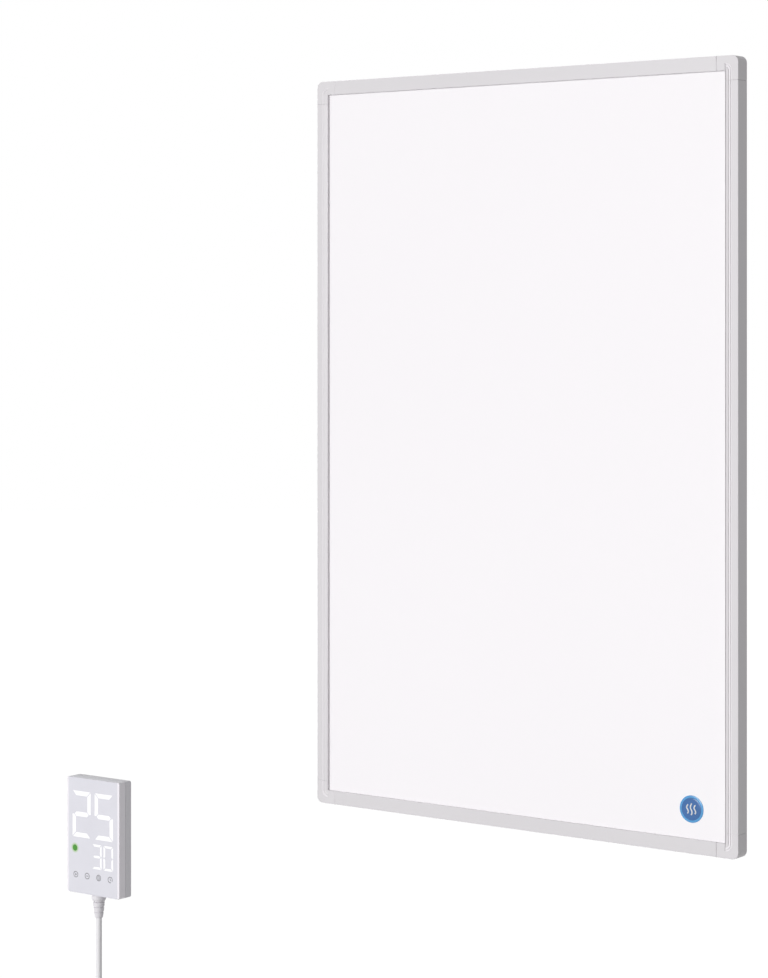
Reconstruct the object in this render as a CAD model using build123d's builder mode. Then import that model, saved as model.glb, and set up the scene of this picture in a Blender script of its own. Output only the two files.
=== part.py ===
from build123d import *
import os
from math import dist

# A wall-hung infrared panel heater with a corded hand controller.
# Millimetres. X runs to the right and Z upwards, as seen by someone facing the heater.
# The wall is the plane Y = 0, and the heater faces -Y. The origin is the middle of the
# four wall keyholes, on the wall plane, behind the middle of the panel.

# ---------------------------------------------------------------- driving dimensions

# panel and its frame
PANEL_WIDTH = 600.0
PANEL_HEIGHT = 900.0
FRAME_DEPTH = 20.0
WALL_GAP = 24.0  # wall to the back of the frame
MEMBER_WIDTH = 16.8  # frame member, seen from the front
OUTER_EDGE_RADIUS = 1.0  # long outer front edge of the frame

# frame extrusion, measured inwards from its outer edge and backwards from its front
OUTER_WALL = 1.4
FRONT_FLANGE = 1.6
REEDED_FLANGE = 2.4
WEB_INNER_FACE = 7.4
WEB_OUTER_FACE = 8.8
REAR_LIP_REACH = 14.0
REAR_LIP = 1.4
LIP_FOOT = 1.6  # width of the foot that bears on the heating plate
PLATE_RECESS = 3.2  # frame front to the face of the heating plate

# stepped reeds along the inner side of the upright members; each swells gently towards
# the outer edge and ends there in a steep wall
LAND_WIDTH = 8.0  # flat land outside the reeds
REED_CRESTS = (10.1, 12.7)  # measured from the outer edge
REED_DROP = 0.45  # crest of a reed below the land
REED_WALL = 0.85  # height of its steep wall
REED_SWELL = 0.12  # how far a reed's slope bulges
EDGE_LIP = 0.4  # thin lip along the inner edge
EDGE_LIP_DROP = 0.15
EDGE_LIP_WALL = 0.95
WALL_SLANT = 0.05

# moulded corner caps
CAP_LEG = 28.0
CAP_RADIUS = 8.0
CAP_EDGE_RADIUS = 0.8
CAP_END_CHAMFER = 0.4
CAP_LUG_LENGTH = 14.0
LUG_CLEARANCE = 0.2
SEAM_GAP = 0.15
CORNER_SCREW_RADIUS = 1.5
CORNER_SCREW_SET_IN = 8.0  # seam to screw, along the rail

# layers inside the frame, front to back
STACK_CLEARANCE = 0.4
PLATE_THICKNESS = 1.2
FILM_THICKNESS = 0.4
FILM_HALF_WIDTH = 262.0
FILM_HALF_HEIGHT = 420.0
BUSBAR_WIDTH = 12.0
COVER_THICKNESS = 1.2

# wall brackets and their keyholes
KEYHOLE_SPACING_X = 440.0
KEYHOLE_SPACING_Z = 640.0
KEYHOLE_RADIUS = 5.5
KEYHOLE_SLOT_WIDTH = 5.4
KEYHOLE_SLOT_RISE = 14.0
BRACKET_SHEET = 1.5
BRACKET_WEB_WIDTH = 50.0
BRACKET_FLANGE = 15.0
BRACKET_HEIGHT = 46.0
BRACKET_BEND_RADIUS = 2.0

# junction box on the back
BOX_CENTRE_Z = -330.0
BOX_WIDTH = 116.0
BOX_HEIGHT = 68.0
BOX_DEPTH = 20.0  # base and lid together, less than the wall gap
BOX_WALL = 2.0
BOX_CORNER_RADIUS = 4.0
LID_THICKNESS = 2.0
BOSS_RADIUS = 4.0
BOSS_INSET = 7.0
BOX_SCREW_RADIUS = 1.5
WIRE_RADIUS = 1.5
GLAND_BORE_RADIUS = 4.2
GLAND_THREAD_RADIUS = 6.6

# hand controller, on the wall to the left of the panel
CONTROLLER_X = -701.0
CONTROLLER_BOTTOM = -622.0
CONTROLLER_WIDTH = 96.0
CONTROLLER_HEIGHT = 156.0
CONTROLLER_DEPTH = 24.0
SHELL_WALL = 2.0
SHELL_CORNER_RADIUS = 3.0
SHELL_EDGE_RADIUS = 0.8
SPLIT_LINE = 0.5  # width and depth of the line between the shells
BOARD_THICKNESS = 1.6
BOARD_BACK = 9.0  # wall to the back of the circuit board
CONTROLLER_KEYHOLE_RADIUS = 4.2
CONTROLLER_SLOT_WIDTH = 4.4
CONTROLLER_SLOT_RISE = 9.0
SHELL_SCREW_RADIUS = 1.4

# display, measured from the middle of the controller's face
BIG_DIGIT = (34.6, 63.4, 7.4)  # width, height and stroke
SMALL_DIGIT = (18.6, 34.4, 4.3)
SEGMENT_GAP = 1.1
BIG_DIGIT_CORNERS = ((-38.0, -2.8), (2.6, -2.8))  # lower left corners
SMALL_DIGIT_CORNERS = ((-1.9, -42.6), (18.8, -42.6))
LIT_SEGMENTS = {"2": "abged", "5": "afgcd", "3": "abgcd", "0": "abcdef"}
STATUS_LAMP = (-32.8, -17.4)
STATUS_LAMP_RADIUS = 4.2
KEY_ROW = -53.2
KEY_PLACES = (-31.4, -10.4, 10.6, 31.6)
KEY_PAD_RADIUS = 5.0

# lead, its strain relief, its coil and its plug
LEAD_DIAMETER = 8.0
RELIEF_LENGTH = 31.5
COIL_CENTRE_Z = -808.0
COIL_OUTER_RADIUS = 58.0
COIL_PITCH = 8.5  # turn to turn, and layer to layer
TURNS_IN_HALVES = 6
TURNS_OUT_HALVES = 5
TAIL_LENGTH = 66.0
TIE_WIDTH = 14.0
TIE_THICKNESS = 1.4
TIE_SLACK = 0.9
PLUG_FACE_RADIUS = 19.0
PLUG_HEAD_LENGTH = 17.0
PLUG_GRIP_LENGTH = 22.0
PLUG_BOOT_LENGTH = 20.0
GRIP_GROOVES = 4
GRIP_GROOVE_PITCH = 3.4
GRIP_GROOVE_WIDTH = 1.2
GRIP_GROOVE_FLOOR = 13.4  # radius at the bottom of the first groove
PIN_RADIUS = 2.4
PIN_LENGTH = 19.0
PIN_SPACING = 19.0

# ---------------------------------------------------------------- places worked out

HALF_WIDTH = PANEL_WIDTH / 2
HALF_HEIGHT = PANEL_HEIGHT / 2
FRONT_Y = -(WALL_GAP + FRAME_DEPTH)
FRAME_BACK_Y = -WALL_GAP
STACK_BACK = FRAME_DEPTH - REAR_LIP
PLATE_BACK = PLATE_RECESS + PLATE_THICKNESS
FILM_BACK = PLATE_BACK + FILM_THICKNESS
COVER_FRONT = STACK_BACK - COVER_THICKNESS
COVER_BACK_Y = FRONT_Y + STACK_BACK
STACK_HALF_WIDTH = HALF_WIDTH - WEB_OUTER_FACE - STACK_CLEARANCE
STACK_HALF_HEIGHT = HALF_HEIGHT - WEB_OUTER_FACE - STACK_CLEARANCE
RAIL_HALF_HEIGHT = HALF_HEIGHT - CAP_LEG - SEAM_GAP
RAIL_HALF_WIDTH = HALF_WIDTH - CAP_LEG - SEAM_GAP
CHAMBER_MIDDLE = (OUTER_WALL + WEB_INNER_FACE) / 2

os.makedirs("parts", exist_ok=True)


def save(part, name):
    """Label a finished piece and write it to its own file."""
    part.label = name
    export_step(part, f"parts/{name}.step")


def front_plane(depth):
    """The upright plane at a depth behind the frame's front, drawn on in X and Z."""
    return Plane.XZ.offset(-(FRONT_Y + depth))


def wall_plane(gap):
    """The upright plane at a distance in front of the wall, drawn on in X and Z."""
    return Plane.XZ.offset(gap)


def cylinder_on(plane_gap, x, z, radius, length):
    """A round pin that starts at a distance in front of the wall and runs towards it."""
    with BuildSketch(wall_plane(plane_gap)) as disc:
        with Locations((x, z)):
            Circle(radius)
    extrude(disc.sketch, amount=-length)


# ---------------------------------------------------------------- frame rails


def rail_outline(flange):
    """Open channel of the extrusion, as (inwards, backwards) points round its outside."""
    return (
        (0, 0),
        (MEMBER_WIDTH, 0),
        (MEMBER_WIDTH, PLATE_RECESS),
        (MEMBER_WIDTH - LIP_FOOT, PLATE_RECESS),
        (MEMBER_WIDTH - LIP_FOOT, flange),
        (WEB_OUTER_FACE, flange),
        (WEB_OUTER_FACE, STACK_BACK),
        (REAR_LIP_REACH, STACK_BACK),
        (REAR_LIP_REACH, FRAME_DEPTH),
        (0, FRAME_DEPTH),
    )


def rail_profile(place, flange):
    """Draw the extrusion's section, with its chamber for the corner lugs."""
    with BuildLine() as outline:
        Polyline(*[place(u, v) for u, v in rail_outline(flange)], close=True)
    make_face(outline.edges())
    with BuildLine() as chamber:
        Polyline(
            place(OUTER_WALL, flange),
            place(WEB_INNER_FACE, flange),
            place(WEB_INNER_FACE, STACK_BACK),
            place(OUTER_WALL, STACK_BACK),
            close=True,
        )
    make_face(chamber.edges(), mode=Mode.SUBTRACT)


def reed_relief_profile(place):
    """Draw what is taken off the flat front to leave the stepped reeds and the edge lip."""
    above = -1.0
    lip = MEMBER_WIDTH - EDGE_LIP
    with BuildLine() as outline:
        Polyline(
            place(lip, EDGE_LIP_DROP),
            place(MEMBER_WIDTH, EDGE_LIP_DROP),
            place(MEMBER_WIDTH, above),
            place(LAND_WIDTH, above),
            place(LAND_WIDTH, 0),
        )
        slope_top = (LAND_WIDTH, 0)
        walls = [(crest, REED_DROP, REED_WALL) for crest in REED_CRESTS]
        walls.append((lip, EDGE_LIP_DROP, EDGE_LIP_WALL))
        for crest, drop, height in walls:
            foot = (crest - WALL_SLANT, drop + height)
            middle = ((slope_top[0] + foot[0]) / 2, (slope_top[1] + foot[1]) / 2 - REED_SWELL)
            ThreePointArc(place(*slope_top), place(*middle), place(*foot))
            Line(place(*foot), place(crest, drop))
            slope_top = (crest, drop)
    make_face(outline.edges())


def upright_place(inwards, backwards):
    """A point of the left rail's section, in X and Y."""
    return (-HALF_WIDTH + inwards, FRONT_Y + backwards)


def level_place(inwards, backwards):
    """A point of the bottom rail's section, in Y and Z."""
    return (FRONT_Y + backwards, -HALF_HEIGHT + inwards)


with BuildPart() as frame_rail_left:
    with BuildSketch(Plane.XY.offset(-RAIL_HALF_HEIGHT)):
        rail_profile(upright_place, REEDED_FLANGE)
    extrude(amount=2 * RAIL_HALF_HEIGHT)
    with BuildSketch(Plane.XY.offset(-RAIL_HALF_HEIGHT)):
        reed_relief_profile(upright_place)
    extrude(amount=2 * RAIL_HALF_HEIGHT, mode=Mode.SUBTRACT)
    outer_front_edge = frame_rail_left.edges().filter_by(Axis.Z).sort_by_distance(
        (-HALF_WIDTH, FRONT_Y, 0)
    )[0]
    fillet(outer_front_edge, OUTER_EDGE_RADIUS)
    for end in (-1, 1):
        screw_z = end * (RAIL_HALF_HEIGHT - CORNER_SCREW_SET_IN)
        with BuildSketch(wall_plane(WALL_GAP)):
            with Locations((-HALF_WIDTH + CHAMBER_MIDDLE, screw_z)):
                Circle(CORNER_SCREW_RADIUS)
        extrude(amount=REAR_LIP, mode=Mode.SUBTRACT)
save(frame_rail_left.part, "frame_rail_left")

with BuildPart() as frame_rail_right:
    mirror(frame_rail_left.part, about=Plane.YZ)
save(frame_rail_right.part, "frame_rail_right")

with BuildPart() as frame_rail_bottom:
    with BuildSketch(Plane.YZ.offset(-RAIL_HALF_WIDTH)):
        rail_profile(level_place, FRONT_FLANGE)
    extrude(amount=2 * RAIL_HALF_WIDTH)
    outer_front_edge = frame_rail_bottom.edges().filter_by(Axis.X).sort_by_distance(
        (0, FRONT_Y, -HALF_HEIGHT)
    )[0]
    fillet(outer_front_edge, OUTER_EDGE_RADIUS)
    for end in (-1, 1):
        screw_x = end * (RAIL_HALF_WIDTH - CORNER_SCREW_SET_IN)
        with BuildSketch(wall_plane(WALL_GAP)):
            with Locations((screw_x, -HALF_HEIGHT + CHAMBER_MIDDLE)):
                Circle(CORNER_SCREW_RADIUS)
        extrude(amount=REAR_LIP, mode=Mode.SUBTRACT)
save(frame_rail_bottom.part, "frame_rail_bottom")

with BuildPart() as frame_rail_top:
    mirror(frame_rail_bottom.part, about=Plane.XY)
save(frame_rail_top.part, "frame_rail_top")

# ---------------------------------------------------------------- corner caps


def corner_ell(width, radius=0.0):
    """Draw the L of the lower left corner, with a rounded outer corner."""
    corner = (-HALF_WIDTH, -HALF_HEIGHT)
    with Locations(corner):
        Rectangle(width, CAP_LEG, align=(Align.MIN, Align.MIN))
        Rectangle(CAP_LEG, width, align=(Align.MIN, Align.MIN))
    if radius:
        fillet(vertices().sort_by_distance(corner)[0], radius)


def lug(upright):
    """A lug that plugs into the chamber of one rail, rooted in the cap's block."""
    inner = OUTER_WALL + LUG_CLEARANCE
    outer = WEB_INNER_FACE - LUG_CLEARANCE
    root = CAP_LEG - 4.0
    reach = CAP_LEG + SEAM_GAP + CAP_LUG_LENGTH - root
    shallow = (REEDED_FLANGE if upright else FRONT_FLANGE) + LUG_CLEARANCE
    deep = STACK_BACK - LUG_CLEARANCE
    with BuildSketch(front_plane(shallow)) as section:
        if upright:
            with Locations((-HALF_WIDTH + inner, -HALF_HEIGHT + root)):
                Rectangle(outer - inner, reach, align=(Align.MIN, Align.MIN))
        else:
            with Locations((-HALF_WIDTH + root, -HALF_HEIGHT + inner)):
                Rectangle(reach, outer - inner, align=(Align.MIN, Align.MIN))
    extrude(section.sketch, amount=-(deep - shallow))


with BuildPart() as corner_cap_bottom_left:
    with BuildSketch(front_plane(0)):
        corner_ell(WEB_OUTER_FACE, CAP_RADIUS)
    extrude(amount=-FRAME_DEPTH)
    with BuildSketch(front_plane(0)):
        corner_ell(MEMBER_WIDTH, CAP_RADIUS)
    extrude(amount=-REEDED_FLANGE)
    with BuildSketch(front_plane(REEDED_FLANGE)):
        corner_ell(MEMBER_WIDTH)
        with Locations((-HALF_WIDTH, -HALF_HEIGHT)):
            Rectangle(CAP_LEG, MEMBER_WIDTH - LIP_FOOT, align=Align.MIN, mode=Mode.SUBTRACT)
            Rectangle(MEMBER_WIDTH - LIP_FOOT, CAP_LEG, align=Align.MIN, mode=Mode.SUBTRACT)
    extrude(amount=-(PLATE_RECESS - REEDED_FLANGE))
    with BuildSketch(front_plane(STACK_BACK)):
        corner_ell(REAR_LIP_REACH, CAP_RADIUS)
    extrude(amount=-REAR_LIP)
    # rounded outer edge of the front face, before the reeds are cut
    outline_edges = (
        corner_cap_bottom_left.edges()
        .filter_by(lambda e: abs(e.center().Y - FRONT_Y) < 0.01)
        .filter_by(
            lambda e: min(e.center().X + HALF_WIDTH, e.center().Z + HALF_HEIGHT) < 3.0
            and max(e.center().X + HALF_WIDTH, e.center().Z + HALF_HEIGHT) < CAP_LEG - 1.0
        )
    )
    fillet(outline_edges, CAP_EDGE_RADIUS)
    # chamfered ends where the cap meets the two rails
    end_edges = (
        corner_cap_bottom_left.edges()
        .filter_by(lambda e: abs(e.center().Y - FRONT_Y) < 0.01)
        .filter_by(
            lambda e: max(e.center().X + HALF_WIDTH, e.center().Z + HALF_HEIGHT) > CAP_LEG - 0.01
        )
    )
    chamfer(end_edges, CAP_END_CHAMFER)
    # the reeds come down the upright leg and curl a quarter turn into the corner
    curl_x = -HALF_WIDTH + MEMBER_WIDTH
    curl_z = -HALF_HEIGHT + MEMBER_WIDTH
    with BuildSketch(Plane.XY.offset(curl_z)):
        reed_relief_profile(upright_place)
    extrude(amount=CAP_LEG - MEMBER_WIDTH + 1.0, mode=Mode.SUBTRACT)
    with BuildSketch(Plane.XY.offset(curl_z)):
        reed_relief_profile(upright_place)
    revolve(
        axis=Axis((curl_x, 0, curl_z), (0, -1, 0)),
        revolution_arc=90,
        mode=Mode.SUBTRACT,
    )
    lug(upright=True)
    lug(upright=False)
    # pilot holes for the two screws that hold the rails
    for x, z in (
        (-HALF_WIDTH + CHAMBER_MIDDLE, -RAIL_HALF_HEIGHT + CORNER_SCREW_SET_IN),
        (-RAIL_HALF_WIDTH + CORNER_SCREW_SET_IN, -HALF_HEIGHT + CHAMBER_MIDDLE),
    ):
        with BuildSketch(wall_plane(WALL_GAP)):
            with Locations((x, z)):
                Circle(CORNER_SCREW_RADIUS)
        extrude(amount=10.0, mode=Mode.SUBTRACT)
save(corner_cap_bottom_left.part, "corner_cap_bottom_left")

with BuildPart() as corner_cap_bottom_right:
    mirror(corner_cap_bottom_left.part, about=Plane.YZ)
save(corner_cap_bottom_right.part, "corner_cap_bottom_right")

with BuildPart() as corner_cap_top_left:
    mirror(corner_cap_bottom_left.part, about=Plane.XY)
save(corner_cap_top_left.part, "corner_cap_top_left")

with BuildPart() as corner_cap_top_right:
    mirror(corner_cap_bottom_right.part, about=Plane.XY)
save(corner_cap_top_right.part, "corner_cap_top_right")

with BuildPart() as corner_screws:
    for side in (-1, 1):
        for end in (-1, 1):
            for x, z in (
                (HALF_WIDTH - CHAMBER_MIDDLE, RAIL_HALF_HEIGHT - CORNER_SCREW_SET_IN),
                (RAIL_HALF_WIDTH - CORNER_SCREW_SET_IN, HALF_HEIGHT - CHAMBER_MIDDLE),
            ):
                cylinder_on(WALL_GAP, side * x, end * z, 2.8, 1.8)
                with BuildSketch(wall_plane(WALL_GAP)):
                    with Locations((side * x, end * z)):
                        Circle(CORNER_SCREW_RADIUS)
                extrude(amount=9.0)
save(corner_screws.part, "corner_screws")

# ---------------------------------------------------------------- layers of the panel

LEAD_HOLE_LEFT_X = -40.0
LEAD_HOLE_RIGHT_X = 50.0
WIRE_LEVEL_Z = BOX_CENTRE_Z - 20.0
CHANNEL_DEPTH = 5.6
CHANNEL_WIDTH = 5.0
WIRE_DEPTH = FILM_BACK + 3.8
BUSBAR_CENTRE = FILM_HALF_WIDTH + BUSBAR_WIDTH / 2

with BuildPart() as heating_plate:
    with BuildSketch(front_plane(PLATE_RECESS)):
        RectangleRounded(2 * STACK_HALF_WIDTH, 2 * STACK_HALF_HEIGHT, 1.0)
    extrude(amount=-PLATE_THICKNESS)
save(heating_plate.part, "heating_plate")

with BuildPart() as carbon_heating_film:
    with BuildSketch(front_plane(PLATE_BACK)):
        Rectangle(2 * FILM_HALF_WIDTH, 2 * FILM_HALF_HEIGHT)
    extrude(amount=-FILM_THICKNESS)
save(carbon_heating_film.part, "carbon_heating_film")

with BuildPart() as busbar_left:
    with BuildSketch(front_plane(PLATE_BACK)):
        with Locations((-BUSBAR_CENTRE, 0)):
            Rectangle(BUSBAR_WIDTH, 2 * FILM_HALF_HEIGHT)
    extrude(amount=-FILM_THICKNESS)
save(busbar_left.part, "busbar_left")

with BuildPart() as busbar_right:
    mirror(busbar_left.part, about=Plane.YZ)
save(busbar_right.part, "busbar_right")

with BuildPart() as insulation_pad:
    with BuildSketch(front_plane(FILM_BACK)):
        RectangleRounded(2 * STACK_HALF_WIDTH, 2 * STACK_HALF_HEIGHT, 3.0)
    extrude(amount=-(COVER_FRONT - FILM_BACK))
    # channels for the two wires from the bus bars, and their ways out to the back
    for bar_x, hole_x in ((-BUSBAR_CENTRE, LEAD_HOLE_LEFT_X), (BUSBAR_CENTRE, LEAD_HOLE_RIGHT_X)):
        channel_length = abs(hole_x - bar_x) + CHANNEL_WIDTH
        with BuildSketch(front_plane(FILM_BACK)):
            with Locations(((bar_x + hole_x) / 2, WIRE_LEVEL_Z)):
                Rectangle(channel_length, CHANNEL_WIDTH)
        extrude(amount=-CHANNEL_DEPTH, mode=Mode.SUBTRACT)
        with BuildSketch(front_plane(FILM_BACK)):
            with Locations((hole_x, WIRE_LEVEL_Z)):
                Rectangle(CHANNEL_WIDTH, CHANNEL_WIDTH)
        extrude(amount=-(COVER_FRONT - FILM_BACK), mode=Mode.SUBTRACT)
save(insulation_pad.part, "insulation_pad")

RIB_HEIGHT = 0.9
RIB_WIDTH = 22.0
RIB_LENGTH = 460.0
RIB_X = 130.0
RIB_CENTRE_Z = 60.0
WIRE_HOLE_RADIUS = 2.2

with BuildPart() as rear_cover:
    with BuildSketch(front_plane(COVER_FRONT)):
        RectangleRounded(2 * STACK_HALF_WIDTH, 2 * STACK_HALF_HEIGHT, 1.0)
    extrude(amount=-COVER_THICKNESS)
    # pressed stiffening ribs, raised towards the wall and hollow behind
    with BuildSketch(front_plane(STACK_BACK)):
        with Locations((-RIB_X, RIB_CENTRE_Z), (0, RIB_CENTRE_Z), (RIB_X, RIB_CENTRE_Z)):
            SlotOverall(RIB_LENGTH, RIB_WIDTH, rotation=90)
    extrude(amount=-RIB_HEIGHT, taper=35)
    with BuildSketch(front_plane(COVER_FRONT)):
        with Locations((-RIB_X, RIB_CENTRE_Z), (0, RIB_CENTRE_Z), (RIB_X, RIB_CENTRE_Z)):
            SlotOverall(RIB_LENGTH - 3.0, RIB_WIDTH - 3.0, rotation=90)
    extrude(amount=-RIB_HEIGHT, taper=35, mode=Mode.SUBTRACT)
    with BuildSketch(front_plane(COVER_FRONT)):
        with Locations((LEAD_HOLE_LEFT_X, WIRE_LEVEL_Z), (LEAD_HOLE_RIGHT_X, WIRE_LEVEL_Z)):
            Circle(WIRE_HOLE_RADIUS)
    extrude(amount=-COVER_THICKNESS, mode=Mode.SUBTRACT)
    # holes for the bracket screws
    flange_screw_x = (BRACKET_WEB_WIDTH + BRACKET_FLANGE) / 2
    with BuildSketch(front_plane(COVER_FRONT)):
        with GridLocations(KEYHOLE_SPACING_X, KEYHOLE_SPACING_Z, 2, 2):
            with Locations((-flange_screw_x, 0), (flange_screw_x, 0)):
                Circle(2.0)
    extrude(amount=-COVER_THICKNESS, mode=Mode.SUBTRACT)
save(rear_cover.part, "rear_cover")

# ---------------------------------------------------------------- wall brackets


def hat_section(x_middle):
    """Draw the bent sheet of a wall bracket, in X and Y, as a thick line."""
    flange_y = COVER_BACK_Y + BRACKET_SHEET / 2
    web_y = -BRACKET_SHEET / 2
    half_web = BRACKET_WEB_WIDTH / 2 - BRACKET_SHEET / 2
    with BuildLine() as sheet:
        FilletPolyline(
            (x_middle - half_web - BRACKET_FLANGE, flange_y),
            (x_middle - half_web, flange_y),
            (x_middle - half_web, web_y),
            (x_middle + half_web, web_y),
            (x_middle + half_web, flange_y),
            (x_middle + half_web + BRACKET_FLANGE, flange_y),
            radius=BRACKET_BEND_RADIUS,
        )
    trace(sheet.line, line_width=BRACKET_SHEET)


for name, side, level in (
    ("hanger_bracket_top_left", -1, 1),
    ("hanger_bracket_top_right", 1, 1),
    ("hanger_bracket_bottom_left", -1, -1),
    ("hanger_bracket_bottom_right", 1, -1),
):
    hole_x = side * KEYHOLE_SPACING_X / 2
    hole_z = level * KEYHOLE_SPACING_Z / 2
    with BuildPart() as bracket:
        with BuildSketch(Plane.XY.offset(hole_z - BRACKET_HEIGHT / 2)):
            hat_section(hole_x)
        extrude(amount=BRACKET_HEIGHT)
        with BuildSketch(wall_plane(0)):
            with Locations((hole_x, hole_z)):
                Circle(KEYHOLE_RADIUS)
            with Locations((hole_x, hole_z + KEYHOLE_SLOT_RISE / 2)):
                Rectangle(KEYHOLE_SLOT_WIDTH, KEYHOLE_SLOT_RISE)
            with Locations((hole_x, hole_z + KEYHOLE_SLOT_RISE)):
                Circle(KEYHOLE_SLOT_WIDTH / 2)
        extrude(amount=2 * BRACKET_SHEET, mode=Mode.SUBTRACT)
        with BuildSketch(wall_plane(-COVER_BACK_Y)):
            with Locations((hole_x - flange_screw_x, hole_z), (hole_x + flange_screw_x, hole_z)):
                Circle(2.0)
        extrude(amount=-2 * BRACKET_SHEET, mode=Mode.SUBTRACT)
    save(bracket.part, name)

with BuildPart() as hanger_screws:
    head_gap = -(COVER_BACK_Y + BRACKET_SHEET)
    for level in (-1, 1):
        for side in (-1, 1):
            for flange in (-1, 1):
                x = side * KEYHOLE_SPACING_X / 2 + flange * flange_screw_x
                z = level * KEYHOLE_SPACING_Z / 2
                cylinder_on(head_gap, x, z, 3.8, 2.4)
                cylinder_on(head_gap + BRACKET_SHEET + COVER_THICKNESS, x, z, 2.0, 3.0)
save(hanger_screws.part, "hanger_screws")

# ---------------------------------------------------------------- junction box

BOX_BACK_GAP = -COVER_BACK_Y  # the box stands on the rear cover
BOX_FLOOR_GAP = BOX_BACK_GAP - BOX_WALL
LID_GAP = BOX_BACK_GAP - BOX_DEPTH + LID_THICKNESS
BOX_BOTTOM = BOX_CENTRE_Z - BOX_HEIGHT / 2
GLAND_GAP = (BOX_FLOOR_GAP + LID_GAP) / 2
BOSS_X = BOX_WIDTH / 2 - BOSS_INSET
BOSS_Z = BOX_HEIGHT / 2 - BOSS_INSET
BOSS_PLACES = [(x, BOX_CENTRE_Z + z) for x in (-BOSS_X, BOSS_X) for z in (-BOSS_Z, BOSS_Z)]

with BuildPart() as junction_box_base:
    with BuildSketch(wall_plane(BOX_BACK_GAP)):
        with Locations((0, BOX_CENTRE_Z)):
            RectangleRounded(BOX_WIDTH, BOX_HEIGHT, BOX_CORNER_RADIUS)
    extrude(amount=-(BOX_DEPTH - LID_THICKNESS))
    with BuildSketch(wall_plane(BOX_FLOOR_GAP)):
        with Locations((0, BOX_CENTRE_Z)):
            RectangleRounded(BOX_WIDTH - 2 * BOX_WALL, BOX_HEIGHT - 2 * BOX_WALL, 2.0)
    extrude(amount=-(BOX_DEPTH - LID_THICKNESS), mode=Mode.SUBTRACT)
    with BuildSketch(wall_plane(BOX_FLOOR_GAP)):
        with Locations(*BOSS_PLACES):
            Circle(BOSS_RADIUS)
    extrude(amount=-(BOX_FLOOR_GAP - LID_GAP))
    with BuildSketch(wall_plane(LID_GAP)):
        with Locations(*BOSS_PLACES):
            Circle(BOX_SCREW_RADIUS)
    extrude(amount=10.0, mode=Mode.SUBTRACT)
    with BuildSketch(wall_plane(BOX_BACK_GAP)):
        with Locations((LEAD_HOLE_LEFT_X, WIRE_LEVEL_Z), (LEAD_HOLE_RIGHT_X, WIRE_LEVEL_Z)):
            Circle(WIRE_HOLE_RADIUS)
    extrude(amount=-BOX_WALL, mode=Mode.SUBTRACT)
    with BuildSketch(Plane.XY.offset(BOX_BOTTOM)):
        with Locations((0, -GLAND_GAP)):
            Circle(GLAND_THREAD_RADIUS)
    extrude(amount=BOX_WALL, mode=Mode.SUBTRACT)
save(junction_box_base.part, "junction_box_base")

with BuildPart() as junction_box_lid:
    with BuildSketch(wall_plane(LID_GAP)):
        with Locations((0, BOX_CENTRE_Z)):
            RectangleRounded(BOX_WIDTH, BOX_HEIGHT, BOX_CORNER_RADIUS)
    extrude(amount=-LID_THICKNESS)
    rim = junction_box_lid.faces().sort_by(Axis.Y)[-1].edges()
    fillet(rim, 0.8)
    with BuildSketch(wall_plane(LID_GAP)):
        with Locations(*BOSS_PLACES):
            Circle(BOX_SCREW_RADIUS)
    extrude(amount=-LID_THICKNESS, mode=Mode.SUBTRACT)
save(junction_box_lid.part, "junction_box_lid")

with BuildPart() as junction_lid_screws:
    for x, z in BOSS_PLACES:
        cylinder_on(LID_GAP - LID_THICKNESS, x, z, 2.7, 1.6)
        cylinder_on(LID_GAP + 8.0, x, z, BOX_SCREW_RADIUS, 9.0 + LID_THICKNESS)
save(junction_lid_screws.part, "junction_lid_screws")

BLOCK_WIDTH = 30.0
BLOCK_HEIGHT = 20.0
BLOCK_DEPTH = 12.0
BLOCK_BOTTOM = BOX_CENTRE_Z - 4.0
POLE_PITCH = 10.0
CLAMP_RADIUS = 2.6

with BuildPart() as terminal_block:
    with BuildSketch(wall_plane(BOX_FLOOR_GAP)):
        with Locations((0, BLOCK_BOTTOM + BLOCK_HEIGHT / 2)):
            Rectangle(BLOCK_WIDTH, BLOCK_HEIGHT)
    extrude(amount=-BLOCK_DEPTH)
    with BuildSketch(wall_plane(BOX_FLOOR_GAP - BLOCK_DEPTH)):
        with Locations((0, BLOCK_BOTTOM + BLOCK_HEIGHT / 2)):
            with Locations((-POLE_PITCH / 2, 0), (POLE_PITCH / 2, 0)):
                Rectangle(1.2, BLOCK_HEIGHT)
    extrude(amount=5.0, mode=Mode.SUBTRACT)
    with BuildSketch(wall_plane(BOX_FLOOR_GAP - BLOCK_DEPTH)):
        with Locations((0, BLOCK_BOTTOM + BLOCK_HEIGHT / 2)):
            with GridLocations(POLE_PITCH, BLOCK_HEIGHT / 2, 3, 2):
                Circle(CLAMP_RADIUS)
    extrude(amount=3.0, mode=Mode.SUBTRACT)
save(terminal_block.part, "terminal_block")

with BuildPart() as terminal_screws:
    for column in (-1, 0, 1):
        for row in (-1, 1):
            x = column * POLE_PITCH
            z = BLOCK_BOTTOM + BLOCK_HEIGHT / 2 + row * BLOCK_HEIGHT / 4
            cylinder_on(BOX_FLOOR_GAP - BLOCK_DEPTH + 3.0, x, z, 2.2, 2.0)
save(terminal_screws.part, "terminal_screws")

CUTOUT_X = 34.0
CUTOUT_Z = BOX_CENTRE_Z + 8.0
CUTOUT_RADIUS = 8.0
CUTOUT_BODY = 8.0
BLADE_GAP = BOX_FLOOR_GAP - CUTOUT_BODY - 0.4
BLADE_SPREAD = 4.0
BLADE_BOTTOM = CUTOUT_Z - 16.0

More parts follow.
